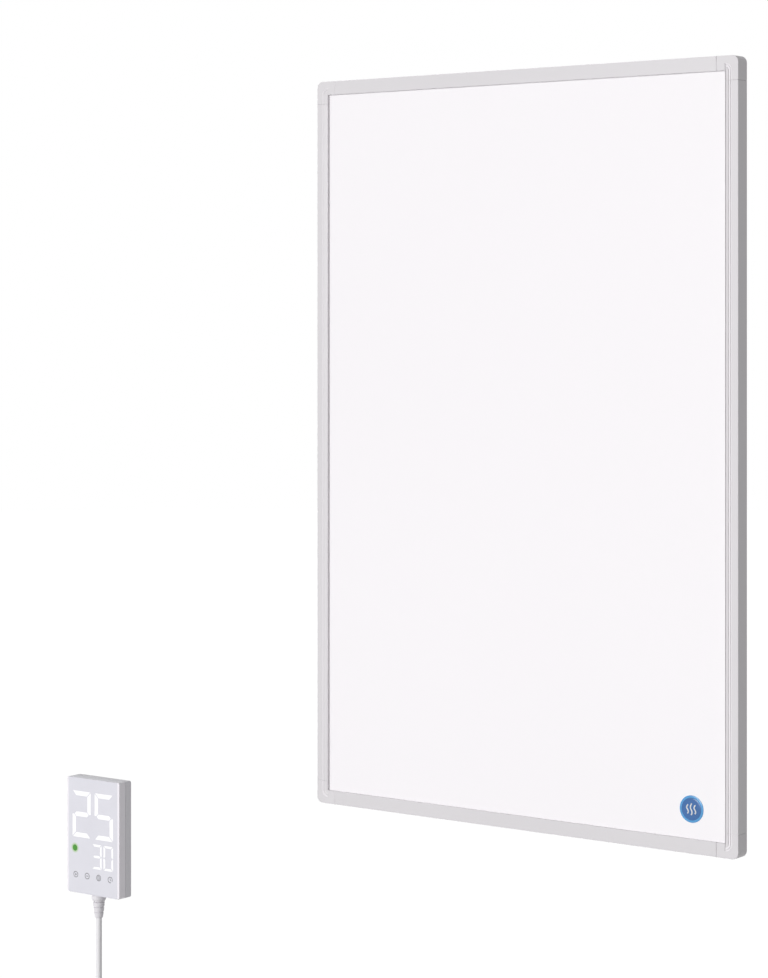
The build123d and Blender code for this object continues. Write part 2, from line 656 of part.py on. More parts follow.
with BuildPart() as overheat_cutout:
    cylinder_on(BOX_FLOOR_GAP, CUTOUT_X, CUTOUT_Z, CUTOUT_RADIUS, CUTOUT_BODY - 2.0)
    cylinder_on(BOX_FLOOR_GAP - CUTOUT_BODY + 2.0, CUTOUT_X, CUTOUT_Z, CUTOUT_RADIUS - 1.0, 2.0)
    with BuildSketch(wall_plane(BOX_FLOOR_GAP - CUTOUT_BODY)):
        with Locations((CUTOUT_X - BLADE_SPREAD, CUTOUT_Z), (CUTOUT_X + BLADE_SPREAD, CUTOUT_Z)):
            Rectangle(4.8, CUTOUT_Z - BLADE_BOTTOM, align=(Align.CENTER, Align.MAX))
    extrude(amount=-0.8)
save(overheat_cutout.part, "overheat_cutout")


def wire(points, bend):
    """An insulated wire along straight runs with rounded bends."""
    with BuildLine() as route:
        FilletPolyline(*points, radius=bend)
    with BuildSketch(Plane(origin=route.line @ 0, z_dir=route.line % 0)) as section:
        Circle(WIRE_RADIUS)
    sweep(section.sketch, path=route.line)


BUS_Y = FRONT_Y + FILM_BACK
WIRE_Y = FRONT_Y + WIRE_DEPTH
BLOCK_WIRE_Y = -(BOX_FLOOR_GAP - BLOCK_DEPTH / 2)
BLADE_Y = -BLADE_GAP
WIRE_BEND = 3.0

with BuildPart() as heater_wire_left:
    wire(
        (
            (-BUSBAR_CENTRE, BUS_Y, WIRE_LEVEL_Z),
            (-BUSBAR_CENTRE, WIRE_Y, WIRE_LEVEL_Z),
            (LEAD_HOLE_LEFT_X, WIRE_Y, WIRE_LEVEL_Z),
            (LEAD_HOLE_LEFT_X, BLOCK_WIRE_Y, WIRE_LEVEL_Z),
            (-POLE_PITCH, BLOCK_WIRE_Y, WIRE_LEVEL_Z),
            (-POLE_PITCH, BLOCK_WIRE_Y, BLOCK_BOTTOM),
        ),
        WIRE_BEND,
    )
save(heater_wire_left.part, "heater_wire_left")

with BuildPart() as heater_wire_right:
    wire(
        (
            (BUSBAR_CENTRE, BUS_Y, WIRE_LEVEL_Z),
            (BUSBAR_CENTRE, WIRE_Y, WIRE_LEVEL_Z),
            (LEAD_HOLE_RIGHT_X, WIRE_Y, WIRE_LEVEL_Z),
            (LEAD_HOLE_RIGHT_X, BLADE_Y, WIRE_LEVEL_Z),
            (CUTOUT_X + BLADE_SPREAD, BLADE_Y, WIRE_LEVEL_Z),
            (CUTOUT_X + BLADE_SPREAD, BLADE_Y, BLADE_BOTTOM),
        ),
        WIRE_BEND,
    )
save(heater_wire_right.part, "heater_wire_right")

with BuildPart() as cutout_wire:
    wire(
        (
            (CUTOUT_X - BLADE_SPREAD, BLADE_Y, BLADE_BOTTOM),
            (CUTOUT_X - BLADE_SPREAD, BLADE_Y, WIRE_LEVEL_Z),
            (POLE_PITCH, BLADE_Y, WIRE_LEVEL_Z),
            (POLE_PITCH, BLADE_Y, BLOCK_BOTTOM),
        ),
        WIRE_BEND,
    )
save(cutout_wire.part, "cutout_wire")

# mains gland in the lower wall of the box; its mouth faces down
GLAND_SHOULDER = 3.0
GLAND_NECK = 7.0
GLAND_NUT_RADIUS = 8.4
CAP_NUT_LENGTH = 12.0
LOCK_NUT_THICKNESS = 4.0

with BuildPart() as mains_gland_body:
    with BuildSketch(Plane.XY.offset(BOX_BOTTOM - GLAND_SHOULDER)):
        with Locations((0, -GLAND_GAP)):
            RegularPolygon(GLAND_NUT_RADIUS, 6)
    extrude(amount=GLAND_SHOULDER)
    with BuildSketch(Plane.XY.offset(BOX_BOTTOM - GLAND_SHOULDER - GLAND_NECK)):
        with Locations((0, -GLAND_GAP)):
            Circle(GLAND_THREAD_RADIUS)
    extrude(amount=GLAND_SHOULDER + GLAND_NECK + BOX_WALL + LOCK_NUT_THICKNESS + 0.5)
    with BuildSketch(Plane.XY.offset(BOX_BOTTOM - GLAND_SHOULDER - GLAND_NECK)):
        with Locations((0, -GLAND_GAP)):
            Circle(GLAND_BORE_RADIUS)
    extrude(amount=30.0, mode=Mode.SUBTRACT)
save(mains_gland_body.part, "mains_gland_body")

with BuildPart() as mains_gland_lock_nut:
    with BuildSketch(Plane.XY.offset(BOX_BOTTOM + BOX_WALL)):
        with Locations((0, -GLAND_GAP)):
            RegularPolygon(GLAND_NUT_RADIUS, 6)
            Circle(GLAND_THREAD_RADIUS, mode=Mode.SUBTRACT)
    extrude(amount=LOCK_NUT_THICKNESS)
save(mains_gland_lock_nut.part, "mains_gland_lock_nut")

with BuildPart() as mains_gland_cap_nut:
    nut_top = BOX_BOTTOM - GLAND_SHOULDER - 0.2
    with BuildSketch(Plane.XY.offset(nut_top - CAP_NUT_LENGTH)):
        with Locations((0, -GLAND_GAP)):
            RegularPolygon(GLAND_NUT_RADIUS, 6)
    extrude(amount=CAP_NUT_LENGTH)
    # a domed mouth below the hexagon
    with BuildSketch(Plane.XY.offset(nut_top - CAP_NUT_LENGTH)):
        with Locations((0, -GLAND_GAP)):
            Circle(7.2)
    extrude(amount=-2.5, taper=30)
    with BuildSketch(Plane.XY.offset(nut_top)):
        with Locations((0, -GLAND_GAP)):
            Circle(GLAND_THREAD_RADIUS)
    extrude(amount=-(GLAND_NECK - 0.2), mode=Mode.SUBTRACT)
    with BuildSketch(Plane.XY.offset(nut_top)):
        with Locations((0, -GLAND_GAP)):
            Circle(GLAND_BORE_RADIUS)
    extrude(amount=-(CAP_NUT_LENGTH + 2.5), mode=Mode.SUBTRACT)
save(mains_gland_cap_nut.part, "mains_gland_cap_nut")

# ---------------------------------------------------------------- hand controller

CONTROLLER_CENTRE_Z = CONTROLLER_BOTTOM + CONTROLLER_HEIGHT / 2
SPLIT_GAP = CONTROLLER_DEPTH / 2  # the two shells meet halfway
FACE_BACK_GAP = CONTROLLER_DEPTH - SHELL_WALL
BOARD_FRONT_GAP = BOARD_BACK + BOARD_THICKNESS
RELIEF_NECK_RADIUS = 5.6
SHELL_BOSS_X = CONTROLLER_WIDTH / 2 - 8.0
SHELL_BOSS_Z = CONTROLLER_HEIGHT / 2 - 8.0
SHELL_BOSS_RADIUS = 3.6
BOSS_SIGNS = [(sx, sz) for sx in (-1, 1) for sz in (-1, 1)]


def on_controller(x, z):
    """A point measured from the middle of the controller, in X and Z."""
    return (CONTROLLER_X + x, CONTROLLER_CENTRE_Z + z)


BOSS_POINTS = [on_controller(sx * SHELL_BOSS_X, sz * SHELL_BOSS_Z) for sx, sz in BOSS_SIGNS]


def segment_shapes(width, height, stroke):
    """The seven strokes of a digit, as corner points from its lower left corner."""
    middle = height / 2
    half = stroke / 2
    inner = width - stroke
    upper = height - stroke
    left_upper = ((0, height), (0, middle), (half, middle), (stroke, middle + half), (stroke, upper))
    left_lower = ((0, 0), (0, middle), (half, middle), (stroke, middle - half), (stroke, stroke))
    return {
        "a": ((0, height), (width, height), (inner, upper), (stroke, upper)),
        "b": tuple((width - x, z) for x, z in left_upper),
        "c": tuple((width - x, z) for x, z in left_lower),
        "d": ((0, 0), (width, 0), (inner, stroke), (stroke, stroke)),
        "e": left_lower,
        "f": left_upper,
        "g": (
            (half, middle),
            (stroke, middle + half),
            (inner, middle + half),
            (width - half, middle),
            (inner, middle - half),
            (stroke, middle - half),
        ),
    }


def draw_number(digits, corners, size):
    """Draw the lit strokes of a row of digits, each stroke parted from its neighbours."""
    strokes = segment_shapes(*size)
    for digit, corner in zip(digits, corners):
        for key in LIT_SEGMENTS[digit]:
            points = [on_controller(corner[0] + x, corner[1] + z) for x, z in strokes[key]]
            stroke = Polygon(*points, align=None, mode=Mode.PRIVATE)
            offset(stroke, amount=-SEGMENT_GAP / 2, kind=Kind.INTERSECTION, mode=Mode.ADD)


with BuildPart() as controller_front_shell:
    with BuildSketch(wall_plane(SPLIT_GAP)):
        with Locations((CONTROLLER_X, CONTROLLER_CENTRE_Z)):
            RectangleRounded(CONTROLLER_WIDTH, CONTROLLER_HEIGHT, SHELL_CORNER_RADIUS)
    extrude(amount=CONTROLLER_DEPTH - SPLIT_GAP)
    fillet(controller_front_shell.faces().sort_by(Axis.Y)[0].edges(), SHELL_EDGE_RADIUS)
    with BuildSketch(wall_plane(SPLIT_GAP)):
        with Locations((CONTROLLER_X, CONTROLLER_CENTRE_Z)):
            RectangleRounded(
                CONTROLLER_WIDTH - 2 * SHELL_WALL, CONTROLLER_HEIGHT - 2 * SHELL_WALL, 1.5
            )
    extrude(amount=FACE_BACK_GAP - SPLIT_GAP, mode=Mode.SUBTRACT)
    # windows for the lit strokes and the status lamp
    with BuildSketch(wall_plane(FACE_BACK_GAP)):
        draw_number("25", BIG_DIGIT_CORNERS, BIG_DIGIT)
        draw_number("30", SMALL_DIGIT_CORNERS, SMALL_DIGIT)
        with Locations(on_controller(*STATUS_LAMP)):
            Circle(STATUS_LAMP_RADIUS)
    extrude(amount=SHELL_WALL, mode=Mode.SUBTRACT)
    # bosses that take the shell screws, stopping short of the rear shell's bosses
    with BuildSketch(wall_plane(SPLIT_GAP)):
        with Locations(*BOSS_POINTS):
            Circle(SHELL_BOSS_RADIUS)
            Circle(SHELL_SCREW_RADIUS, mode=Mode.SUBTRACT)
    extrude(amount=FACE_BACK_GAP - SPLIT_GAP)
    with BuildSketch(Plane.XY.offset(CONTROLLER_BOTTOM)):
        with Locations((CONTROLLER_X, -SPLIT_GAP)):
            Circle(RELIEF_NECK_RADIUS)
    extrude(amount=SHELL_WALL, mode=Mode.SUBTRACT)
save(controller_front_shell.part, "controller_front_shell")

with BuildPart() as controller_rear_shell:
    with BuildSketch(wall_plane(0)):
        with Locations((CONTROLLER_X, CONTROLLER_CENTRE_Z)):
            RectangleRounded(CONTROLLER_WIDTH, CONTROLLER_HEIGHT, SHELL_CORNER_RADIUS)
    extrude(amount=SPLIT_GAP)
    fillet(controller_rear_shell.faces().sort_by(Axis.Y)[-1].edges(), SHELL_EDGE_RADIUS)
    # narrow shadow line all round, where the shells meet
    with BuildSketch(wall_plane(SPLIT_GAP - SPLIT_LINE)):
        with Locations((CONTROLLER_X, CONTROLLER_CENTRE_Z)):
            Rectangle(CONTROLLER_WIDTH + 2, CONTROLLER_HEIGHT + 2)
            RectangleRounded(
                CONTROLLER_WIDTH - 2 * SPLIT_LINE,
                CONTROLLER_HEIGHT - 2 * SPLIT_LINE,
                SHELL_CORNER_RADIUS - SPLIT_LINE,
                mode=Mode.SUBTRACT,
            )
    extrude(amount=SPLIT_LINE, mode=Mode.SUBTRACT)
    with BuildSketch(wall_plane(SHELL_WALL)):
        with Locations((CONTROLLER_X, CONTROLLER_CENTRE_Z)):
            RectangleRounded(
                CONTROLLER_WIDTH - 2 * SHELL_WALL, CONTROLLER_HEIGHT - 2 * SHELL_WALL, 1.5
            )
    extrude(amount=SPLIT_GAP, mode=Mode.SUBTRACT)
    # screw bosses; they carry the circuit board and meet the front shell's bosses
    with BuildSketch(wall_plane(SHELL_WALL)):
        with Locations(*BOSS_POINTS):
            Circle(SHELL_BOSS_RADIUS)
    extrude(amount=SPLIT_GAP - SHELL_WALL)
    with BuildSketch(wall_plane(0)):
        with Locations(*BOSS_POINTS):
            Circle(SHELL_SCREW_RADIUS)
    extrude(amount=SPLIT_GAP, mode=Mode.SUBTRACT)
    with BuildSketch(wall_plane(0)):
        with Locations(*BOSS_POINTS):
            Circle(2.8)
    extrude(amount=1.6, mode=Mode.SUBTRACT)
    # keyhole that hangs the controller on a screw
    with BuildSketch(wall_plane(0)):
        with Locations(on_controller(0, 40.0)):
            Circle(CONTROLLER_KEYHOLE_RADIUS)
        with Locations(on_controller(0, 40.0 + CONTROLLER_SLOT_RISE / 2)):
            Rectangle(CONTROLLER_SLOT_WIDTH, CONTROLLER_SLOT_RISE)
        with Locations(on_controller(0, 40.0 + CONTROLLER_SLOT_RISE)):
            Circle(CONTROLLER_SLOT_WIDTH / 2)
    extrude(amount=SHELL_WALL, mode=Mode.SUBTRACT)
    with BuildSketch(Plane.XY.offset(CONTROLLER_BOTTOM)):
        with Locations((CONTROLLER_X, -SPLIT_GAP)):
            Circle(RELIEF_NECK_RADIUS)
    extrude(amount=SHELL_WALL, mode=Mode.SUBTRACT)
save(controller_rear_shell.part, "controller_rear_shell")

with BuildPart() as controller_shell_screws:
    for x, z in BOSS_POINTS:
        cylinder_on(1.6, x, z, 2.6, 1.4)
        cylinder_on(16.0, x, z, SHELL_SCREW_RADIUS, 14.4)
save(controller_shell_screws.part, "controller_shell_screws")

BOARD_WIDTH = CONTROLLER_WIDTH - 2 * SHELL_WALL - 2.0
BOARD_HEIGHT = CONTROLLER_HEIGHT - 2 * SHELL_WALL - 2.0
BOARD_NOTCH = 9.0
RELIEF_NOTCH = 18.0

with BuildPart() as controller_board:
    with BuildSketch(wall_plane(BOARD_BACK)):
        with Locations((CONTROLLER_X, CONTROLLER_CENTRE_Z)):
            Rectangle(BOARD_WIDTH, BOARD_HEIGHT)
            # notches round the four screw bosses and above the strain relief
            for sx, sz in BOSS_SIGNS:
                with Locations((sx * BOARD_WIDTH / 2, sz * BOARD_HEIGHT / 2)):
                    Rectangle(2 * BOARD_NOTCH + 4, 2 * BOARD_NOTCH + 4, mode=Mode.SUBTRACT)
            with Locations((0, -BOARD_HEIGHT / 2)):
                Rectangle(RELIEF_NOTCH, 2 * 12.0, mode=Mode.SUBTRACT)
    extrude(amount=BOARD_THICKNESS)
save(controller_board.part, "controller_board")

GUIDE_MARGIN = 1.6
GUIDE_SHELF = 1.0


def light_guide(digits, corners, size):
    """A moulded block that carries light from the board to the strokes in the face."""
    width, height, _ = size
    left, bottom = corners[0]
    right = corners[-1][0] + width
    with BuildSketch(wall_plane(BOARD_FRONT_GAP)) as block:
        with Locations(on_controller((left + right) / 2, bottom + height / 2)):
            Rectangle(right - left + 2 * GUIDE_MARGIN, height + 2 * GUIDE_MARGIN)
    extrude(block.sketch, amount=FACE_BACK_GAP - BOARD_FRONT_GAP)
    with BuildSketch(wall_plane(FACE_BACK_GAP)) as number:
        draw_number(digits, corners, size)
    extrude(number.sketch, amount=SHELL_WALL)


with BuildPart() as temperature_light_guide:
    light_guide("25", BIG_DIGIT_CORNERS, BIG_DIGIT)
save(temperature_light_guide.part, "temperature_light_guide")

with BuildPart() as timer_light_guide:
    light_guide("30", SMALL_DIGIT_CORNERS, SMALL_DIGIT)
save(timer_light_guide.part, "timer_light_guide")

with BuildPart() as status_light_guide:
    lamp_x, lamp_z = on_controller(*STATUS_LAMP)
    cylinder_on(CONTROLLER_DEPTH, lamp_x, lamp_z, STATUS_LAMP_RADIUS, SHELL_WALL + GUIDE_SHELF)
    cylinder_on(FACE_BACK_GAP, lamp_x, lamp_z, 2.5, FACE_BACK_GAP - BOARD_FRONT_GAP)
save(status_light_guide.part, "status_light_guide")

with BuildPart() as touch_pads:
    for key_x in KEY_PLACES:
        x, z = on_controller(key_x, KEY_ROW)
        cylinder_on(FACE_BACK_GAP, x, z, KEY_PAD_RADIUS, GUIDE_SHELF)
        cylinder_on(FACE_BACK_GAP, x, z, 1.6, FACE_BACK_GAP - BOARD_FRONT_GAP)
save(touch_pads.part, "touch_pads")

with BuildPart() as relay:
    with BuildSketch(wall_plane(BOARD_FRONT_GAP)):
        with Locations(on_controller(-30.0, -36.0)):
            Rectangle(19.0, 15.5)
    extrude(amount=10.0)
    fillet(relay.faces().sort_by(Axis.Y)[0].edges(), 0.8)
save(relay.part, "relay")

with BuildPart() as power_converter:
    with BuildSketch(wall_plane(BOARD_BACK)):
        with Locations(on_controller(18.0, -30.0)):
            Rectangle(34.0, 22.0)
    extrude(amount=-6.6)
    fillet(power_converter.faces().sort_by(Axis.Y)[-1].edges(), 0.8)
save(power_converter.part, "power_converter")

with BuildPart() as room_sensor:
    sensor_x, sensor_z = on_controller(-38.0, -14.0)
    cylinder_on(BOARD_BACK, sensor_x - 1.2, sensor_z, 0.4, 4.2)
    cylinder_on(BOARD_BACK, sensor_x + 1.2, sensor_z, 0.4, 4.2)
    with Locations((sensor_x, -BOARD_BACK + 4.6, sensor_z)):
        Sphere(1.9)
save(room_sensor.part, "room_sensor")

# strain relief: a neck through the shells, a collar, three ribs and a taper to the lead
RELIEF_COLLAR_RADIUS = 9.6
RELIEF_COLLAR = 6.0
RELIEF_RIB_RADIUS = 8.2
RELIEF_CORE_RADIUS = 6.2
RELIEF_END_RADIUS = 5.0
RIB_PITCH = 6.9
RIB_SLOT = 1.2
RIB_COUNT = 3

with BuildPart() as strain_relief:
    with BuildSketch(Plane((CONTROLLER_X, -SPLIT_GAP, CONTROLLER_BOTTOM), (1, 0, 0), (0, -1, 0))):
        with BuildLine():
            points = [
                (0, SHELL_WALL + 2.0),
                (RELIEF_NECK_RADIUS + 2.0, SHELL_WALL + 2.0),
                (RELIEF_NECK_RADIUS + 2.0, SHELL_WALL),
                (RELIEF_NECK_RADIUS, SHELL_WALL),
                (RELIEF_NECK_RADIUS, 0),
                (RELIEF_COLLAR_RADIUS - 0.6, 0),
                (RELIEF_COLLAR_RADIUS, -0.8),
                (RELIEF_COLLAR_RADIUS, -RELIEF_COLLAR),
            ]
            slot_top = -RELIEF_COLLAR - 3.0
            rib_radius = RELIEF_RIB_RADIUS
            for rib in range(RIB_COUNT):
                points.append((rib_radius, slot_top))
                points.append((RELIEF_CORE_RADIUS - 0.5 * rib, slot_top - 0.3))
                points.append((RELIEF_CORE_RADIUS - 0.5 * rib, slot_top - RIB_SLOT))
                rib_radius -= 0.7
                points.append((rib_radius + 0.3, slot_top - RIB_SLOT - 0.4))
                slot_top -= RIB_PITCH
            points.append((RELIEF_END_RADIUS + 0.6, -RELIEF_LENGTH + 1.2))
            points.append((RELIEF_END_RADIUS, -RELIEF_LENGTH))
            points.append((0, -RELIEF_LENGTH))
            Polyline(*points, close=True)
        make_face()
    revolve(axis=Axis((CONTROLLER_X, -SPLIT_GAP, 0), (0, 0, 1)))
save(strain_relief.part, "strain_relief")

# ---------------------------------------------------------------- lead, coil and tie

LEAD_Y = -SPLIT_GAP
LEAD_RADIUS = LEAD_DIAMETER / 2
LEAD_TOP = CONTROLLER_BOTTOM - RELIEF_LENGTH
COIL_TOP_END = COIL_CENTRE_Z + LEAD_DIAMETER  # each end of the coil runs straight for one diameter
COIL_BOTTOM_END = COIL_CENTRE_Z - LEAD_DIAMETER
SECOND_LAYER_Y = LEAD_Y - COIL_PITCH
HALF_TURN_STEP = COIL_PITCH / 2

# the visible stretch hangs straight under its own weight
with BuildPart() as control_lead:
    with BuildSketch(Plane.XY.offset(COIL_TOP_END)):
        with Locations((CONTROLLER_X, LEAD_Y)):
            Circle(LEAD_RADIUS)
    extrude(amount=LEAD_TOP - COIL_TOP_END)
save(control_lead.part, "control_lead")


def half_turn(start, radius, leftwards, end_y):
    """A half turn of the coil in its upright plane: middle and end points, in order."""
    across = -2 * radius if leftwards else 2 * radius
    rise = radius if leftwards else -radius
    end = (start[0] + across, end_y, COIL_CENTRE_Z)
    chord = dist(start, end)
    middle_rise = rise * chord / (2 * radius)
    middle = ((start[0] + end[0]) / 2, (start[1] + end[1]) / 2, COIL_CENTRE_Z + middle_rise)
    return middle, end


def coil_arcs():
    """Half turns that spiral in, climb one layer, and spiral out again."""
    arcs = []
    point = (CONTROLLER_X, LEAD_Y, COIL_CENTRE_Z)
    radius = COIL_OUTER_RADIUS
    leftwards = False
    for _ in range(TURNS_IN_HALVES):
        middle, end = half_turn(point, radius, leftwards, LEAD_Y)
        arcs.append((point, middle, end))
        point = end
        radius -= HALF_TURN_STEP
        leftwards = not leftwards
    middle, end = half_turn(point, radius, leftwards, SECOND_LAYER_Y)
    arcs.append((point, middle, end))
    point = end
    for _ in range(TURNS_OUT_HALVES):
        radius += HALF_TURN_STEP
        leftwards = not leftwards
        middle, end = half_turn(point, radius, leftwards, SECOND_LAYER_Y)
        arcs.append((point, middle, end))
        point = end
    return arcs


ARCS = coil_arcs()
COIL_END_X = ARCS[-1][2][0]

with BuildPart() as lead_coil:
    with BuildLine() as coil_path:
        Line((CONTROLLER_X, LEAD_Y, COIL_TOP_END), ARCS[0][0])
        for start, middle, end in ARCS:
            ThreePointArc(start, middle, end)
        Line(ARCS[-1][2], (COIL_END_X, SECOND_LAYER_Y, COIL_BOTTOM_END))
    with BuildSketch(Plane.XY.offset(COIL_TOP_END)):
        with Locations((CONTROLLER_X, LEAD_Y)):
            Circle(LEAD_RADIUS)
    sweep(path=coil_path.line)
save(lead_coil.part, "lead_coil")

coil_wire = coil_path.wires()[0]
coil_length = coil_wire.length
SAMPLE_STEP = 3.0
sample_count = int(coil_length / SAMPLE_STEP)
samples = [tuple(coil_wire @ (i / sample_count)) for i in range(sample_count + 1)]
near = int(2.5 * LEAD_DIAMETER / SAMPLE_STEP)
least = min(
    dist(samples[i], samples[j])
    for i in range(len(samples))
    for j in range(i + near, len(samples))
)
print(f"coil: length {coil_length:.1f}, least gap to itself {least - LEAD_DIAMETER:.2f}")
tube_share = lead_coil.part.volume / (coil_length * 3.14159265 * LEAD_RADIUS**2)
print(f"coil: volume over section times length {tube_share:.4f}")

TAIL_TOP = COIL_BOTTOM_END
TAIL_BOTTOM = TAIL_TOP - TAIL_LENGTH

with BuildPart() as lead_tail:
    with BuildSketch(Plane.XY.offset(TAIL_BOTTOM)):
        with Locations((COIL_END_X, SECOND_LAYER_Y)):
            Circle(LEAD_RADIUS)
    extrude(amount=TAIL_LENGTH)
save(lead_tail.part, "lead_tail")
lead_length = (LEAD_TOP - COIL_TOP_END) + coil_length + TAIL_LENGTH
print(f"lead: whole length {lead_length:.1f}")

# hook-and-loop tie round the bundle, on the side away from the lead
bundle_inner = COIL_OUTER_RADIUS - (TURNS_IN_HALVES - 1) * HALF_TURN_STEP - HALF_TURN_STEP
bundle_middle_x = CONTROLLER_X + COIL_OUTER_RADIUS + (COIL_OUTER_RADIUS + bundle_inner) / 2
bundle_width = COIL_OUTER_RADIUS - bundle_inner + LEAD_DIAMETER + 2 * TIE_SLACK
bundle_depth = COIL_PITCH + LEAD_DIAMETER + 2 * TIE_SLACK

with BuildPart() as lead_tie:
    with BuildSketch(Plane.XY.offset(COIL_CENTRE_Z - TIE_WIDTH / 2)):
        with Locations((bundle_middle_x, (LEAD_Y + SECOND_LAYER_Y) / 2)):
            RectangleRounded(bundle_width + 2 * TIE_THICKNESS, bundle_depth + 2 * TIE_THICKNESS, 5.4)
            RectangleRounded(bundle_width, bundle_depth, 4.0, mode=Mode.SUBTRACT)
    extrude(amount=TIE_WIDTH)
save(lead_tie.part, "lead_tie")

# ---------------------------------------------------------------- mains plug

PLUG_BODY_LENGTH = PLUG_BOOT_LENGTH + PLUG_GRIP_LENGTH + PLUG_HEAD_LENGTH
PLUG_FACE_Z = TAIL_BOTTOM - PLUG_BODY_LENGTH
EARTH_SLOT_WIDTH = 6.0
EARTH_SLOT_DEPTH = 2.0
GUIDE_SLOT_WIDTH = 4.6

with BuildPart() as plug_body:
    with BuildSketch(Plane((COIL_END_X, SECOND_LAYER_Y, TAIL_BOTTOM), (1, 0, 0), (0, -1, 0))):
        with BuildLine():
            Polyline(
                (PLUG_FACE_RADIUS - 1.0, -PLUG_BODY_LENGTH),
                (0, -PLUG_BODY_LENGTH),
                (0, 0),
                (5.4, 0),
                (7.0, -PLUG_BOOT_LENGTH),
            )
            Spline(
                (7.0, -PLUG_BOOT_LENGTH),
                (12.5, -PLUG_BOOT_LENGTH - 7.0),
                (15.0, -PLUG_BOOT_LENGTH - PLUG_GRIP_LENGTH + 3.0),
                (PLUG_FACE_RADIUS, -PLUG_BOOT_LENGTH - PLUG_GRIP_LENGTH),
                tangents=((1, -0.6), (1, -0.5)),
            )
            Polyline(
                (PLUG_FACE_RADIUS, -PLUG_BOOT_LENGTH - PLUG_GRIP_LENGTH),
                (PLUG_FACE_RADIUS, -PLUG_BODY_LENGTH + 1.0),
                (PLUG_FACE_RADIUS - 1.0, -PLUG_BODY_LENGTH),
            )
        make_face()
    revolve(axis=Axis((COIL_END_X, SECOND_LAYER_Y, 0), (0, 0, 1)))
    # grooves round the grip
    for groove in range(GRIP_GROOVES):
        groove_z = PLUG_FACE_Z + PLUG_HEAD_LENGTH + 4.0 + GRIP_GROOVE_PITCH * groove
        with BuildSketch(Plane.XY.offset(groove_z)):
            with Locations((COIL_END_X, SECOND_LAYER_Y)):
                Circle(PLUG_FACE_RADIUS)
                Circle(GRIP_GROOVE_FLOOR - 0.5 * groove, mode=Mode.SUBTRACT)
        extrude(amount=GRIP_GROOVE_WIDTH, mode=Mode.SUBTRACT)
    # slots for the earth clips at front and back, and guide slots at the sides
    with BuildSketch(Plane.XY.offset(PLUG_FACE_Z)):
        with Locations((COIL_END_X, SECOND_LAYER_Y)):
            for direction in (-1, 1):
                with Locations((0, direction * PLUG_FACE_RADIUS)):
                    Rectangle(EARTH_SLOT_WIDTH, 2 * EARTH_SLOT_DEPTH)
                with Locations((direction * PLUG_FACE_RADIUS, 0)):
                    Rectangle(2 * 2.4, GUIDE_SLOT_WIDTH)
    extrude(amount=PLUG_HEAD_LENGTH - 2.0, mode=Mode.SUBTRACT)
save(plug_body.part, "plug_body")

with BuildPart() as plug_pins:
    for direction in (-1, 1):
        pin_place = (COIL_END_X + direction * PIN_SPACING / 2, SECOND_LAYER_Y)
        with BuildSketch(Plane.XY.offset(PLUG_FACE_Z)):
            with Locations(pin_place):
                Circle(PIN_RADIUS)
        extrude(amount=-(PIN_LENGTH - PIN_RADIUS))
        with Locations((*pin_place, PLUG_FACE_Z - PIN_LENGTH + PIN_RADIUS)):
            Sphere(PIN_RADIUS)
save(plug_pins.part, "plug_pins")

with BuildPart() as plug_earth_clips:
    for direction in (-1, 1):
        clip_y = SECOND_LAYER_Y + direction * (PLUG_FACE_RADIUS - EARTH_SLOT_DEPTH + 0.5)
        with BuildSketch(Plane.XY.offset(PLUG_FACE_Z + 1.0)):
            with Locations((COIL_END_X, clip_y)):
                Rectangle(EARTH_SLOT_WIDTH - 0.6, 1.0)
        extrude(amount=PLUG_HEAD_LENGTH - 3.0)
save(plug_earth_clips.part, "plug_earth_clips")
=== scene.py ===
"""Dressed scene of a wall-hung infrared panel heater and its corded controller.

The panel hangs with its back to the plane y = 0 and faces -Y. All sizes are in metres.
"""

import logging
from collections.abc import Sequence
from dataclasses import dataclass, replace
from enum import Enum
from functools import partial, reduce
from math import cos, pi, radians, sin, sqrt

import bmesh
import bpy
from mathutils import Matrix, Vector


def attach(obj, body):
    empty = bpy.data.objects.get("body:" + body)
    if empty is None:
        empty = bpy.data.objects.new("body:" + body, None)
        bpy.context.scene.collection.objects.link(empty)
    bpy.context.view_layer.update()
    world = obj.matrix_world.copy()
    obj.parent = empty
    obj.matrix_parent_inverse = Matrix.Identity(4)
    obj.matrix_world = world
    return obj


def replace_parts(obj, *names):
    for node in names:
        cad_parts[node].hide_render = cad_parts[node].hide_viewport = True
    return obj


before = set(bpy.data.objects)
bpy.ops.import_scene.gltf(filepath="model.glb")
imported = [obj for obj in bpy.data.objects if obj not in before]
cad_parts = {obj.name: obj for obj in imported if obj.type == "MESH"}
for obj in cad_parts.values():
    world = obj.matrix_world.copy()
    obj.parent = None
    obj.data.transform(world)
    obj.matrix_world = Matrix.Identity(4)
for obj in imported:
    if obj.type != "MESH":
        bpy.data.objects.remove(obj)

LOG = logging.getLogger("heater")
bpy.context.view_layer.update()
NODES: dict[str, bpy.types.Object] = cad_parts
CORNERS = ("bottom_left", "bottom_right", "top_left", "top_right")
WHITE = (1.0, 1.0, 1.0, 1.0)

Colour = tuple[float, float, float]
Point = tuple[float, float, float]
Spot = tuple[float, float]  # (x, z)
Span = tuple[float, float]  # (from, to)
Mesh = bmesh.types.BMesh
Socket = bpy.types.NodeSocket
Sockets = bpy.types.bpy_prop_collection
Value = Socket | float | tuple[float, ...]
Inputs = dict[str | int, Value]


# ---- shader plumbing


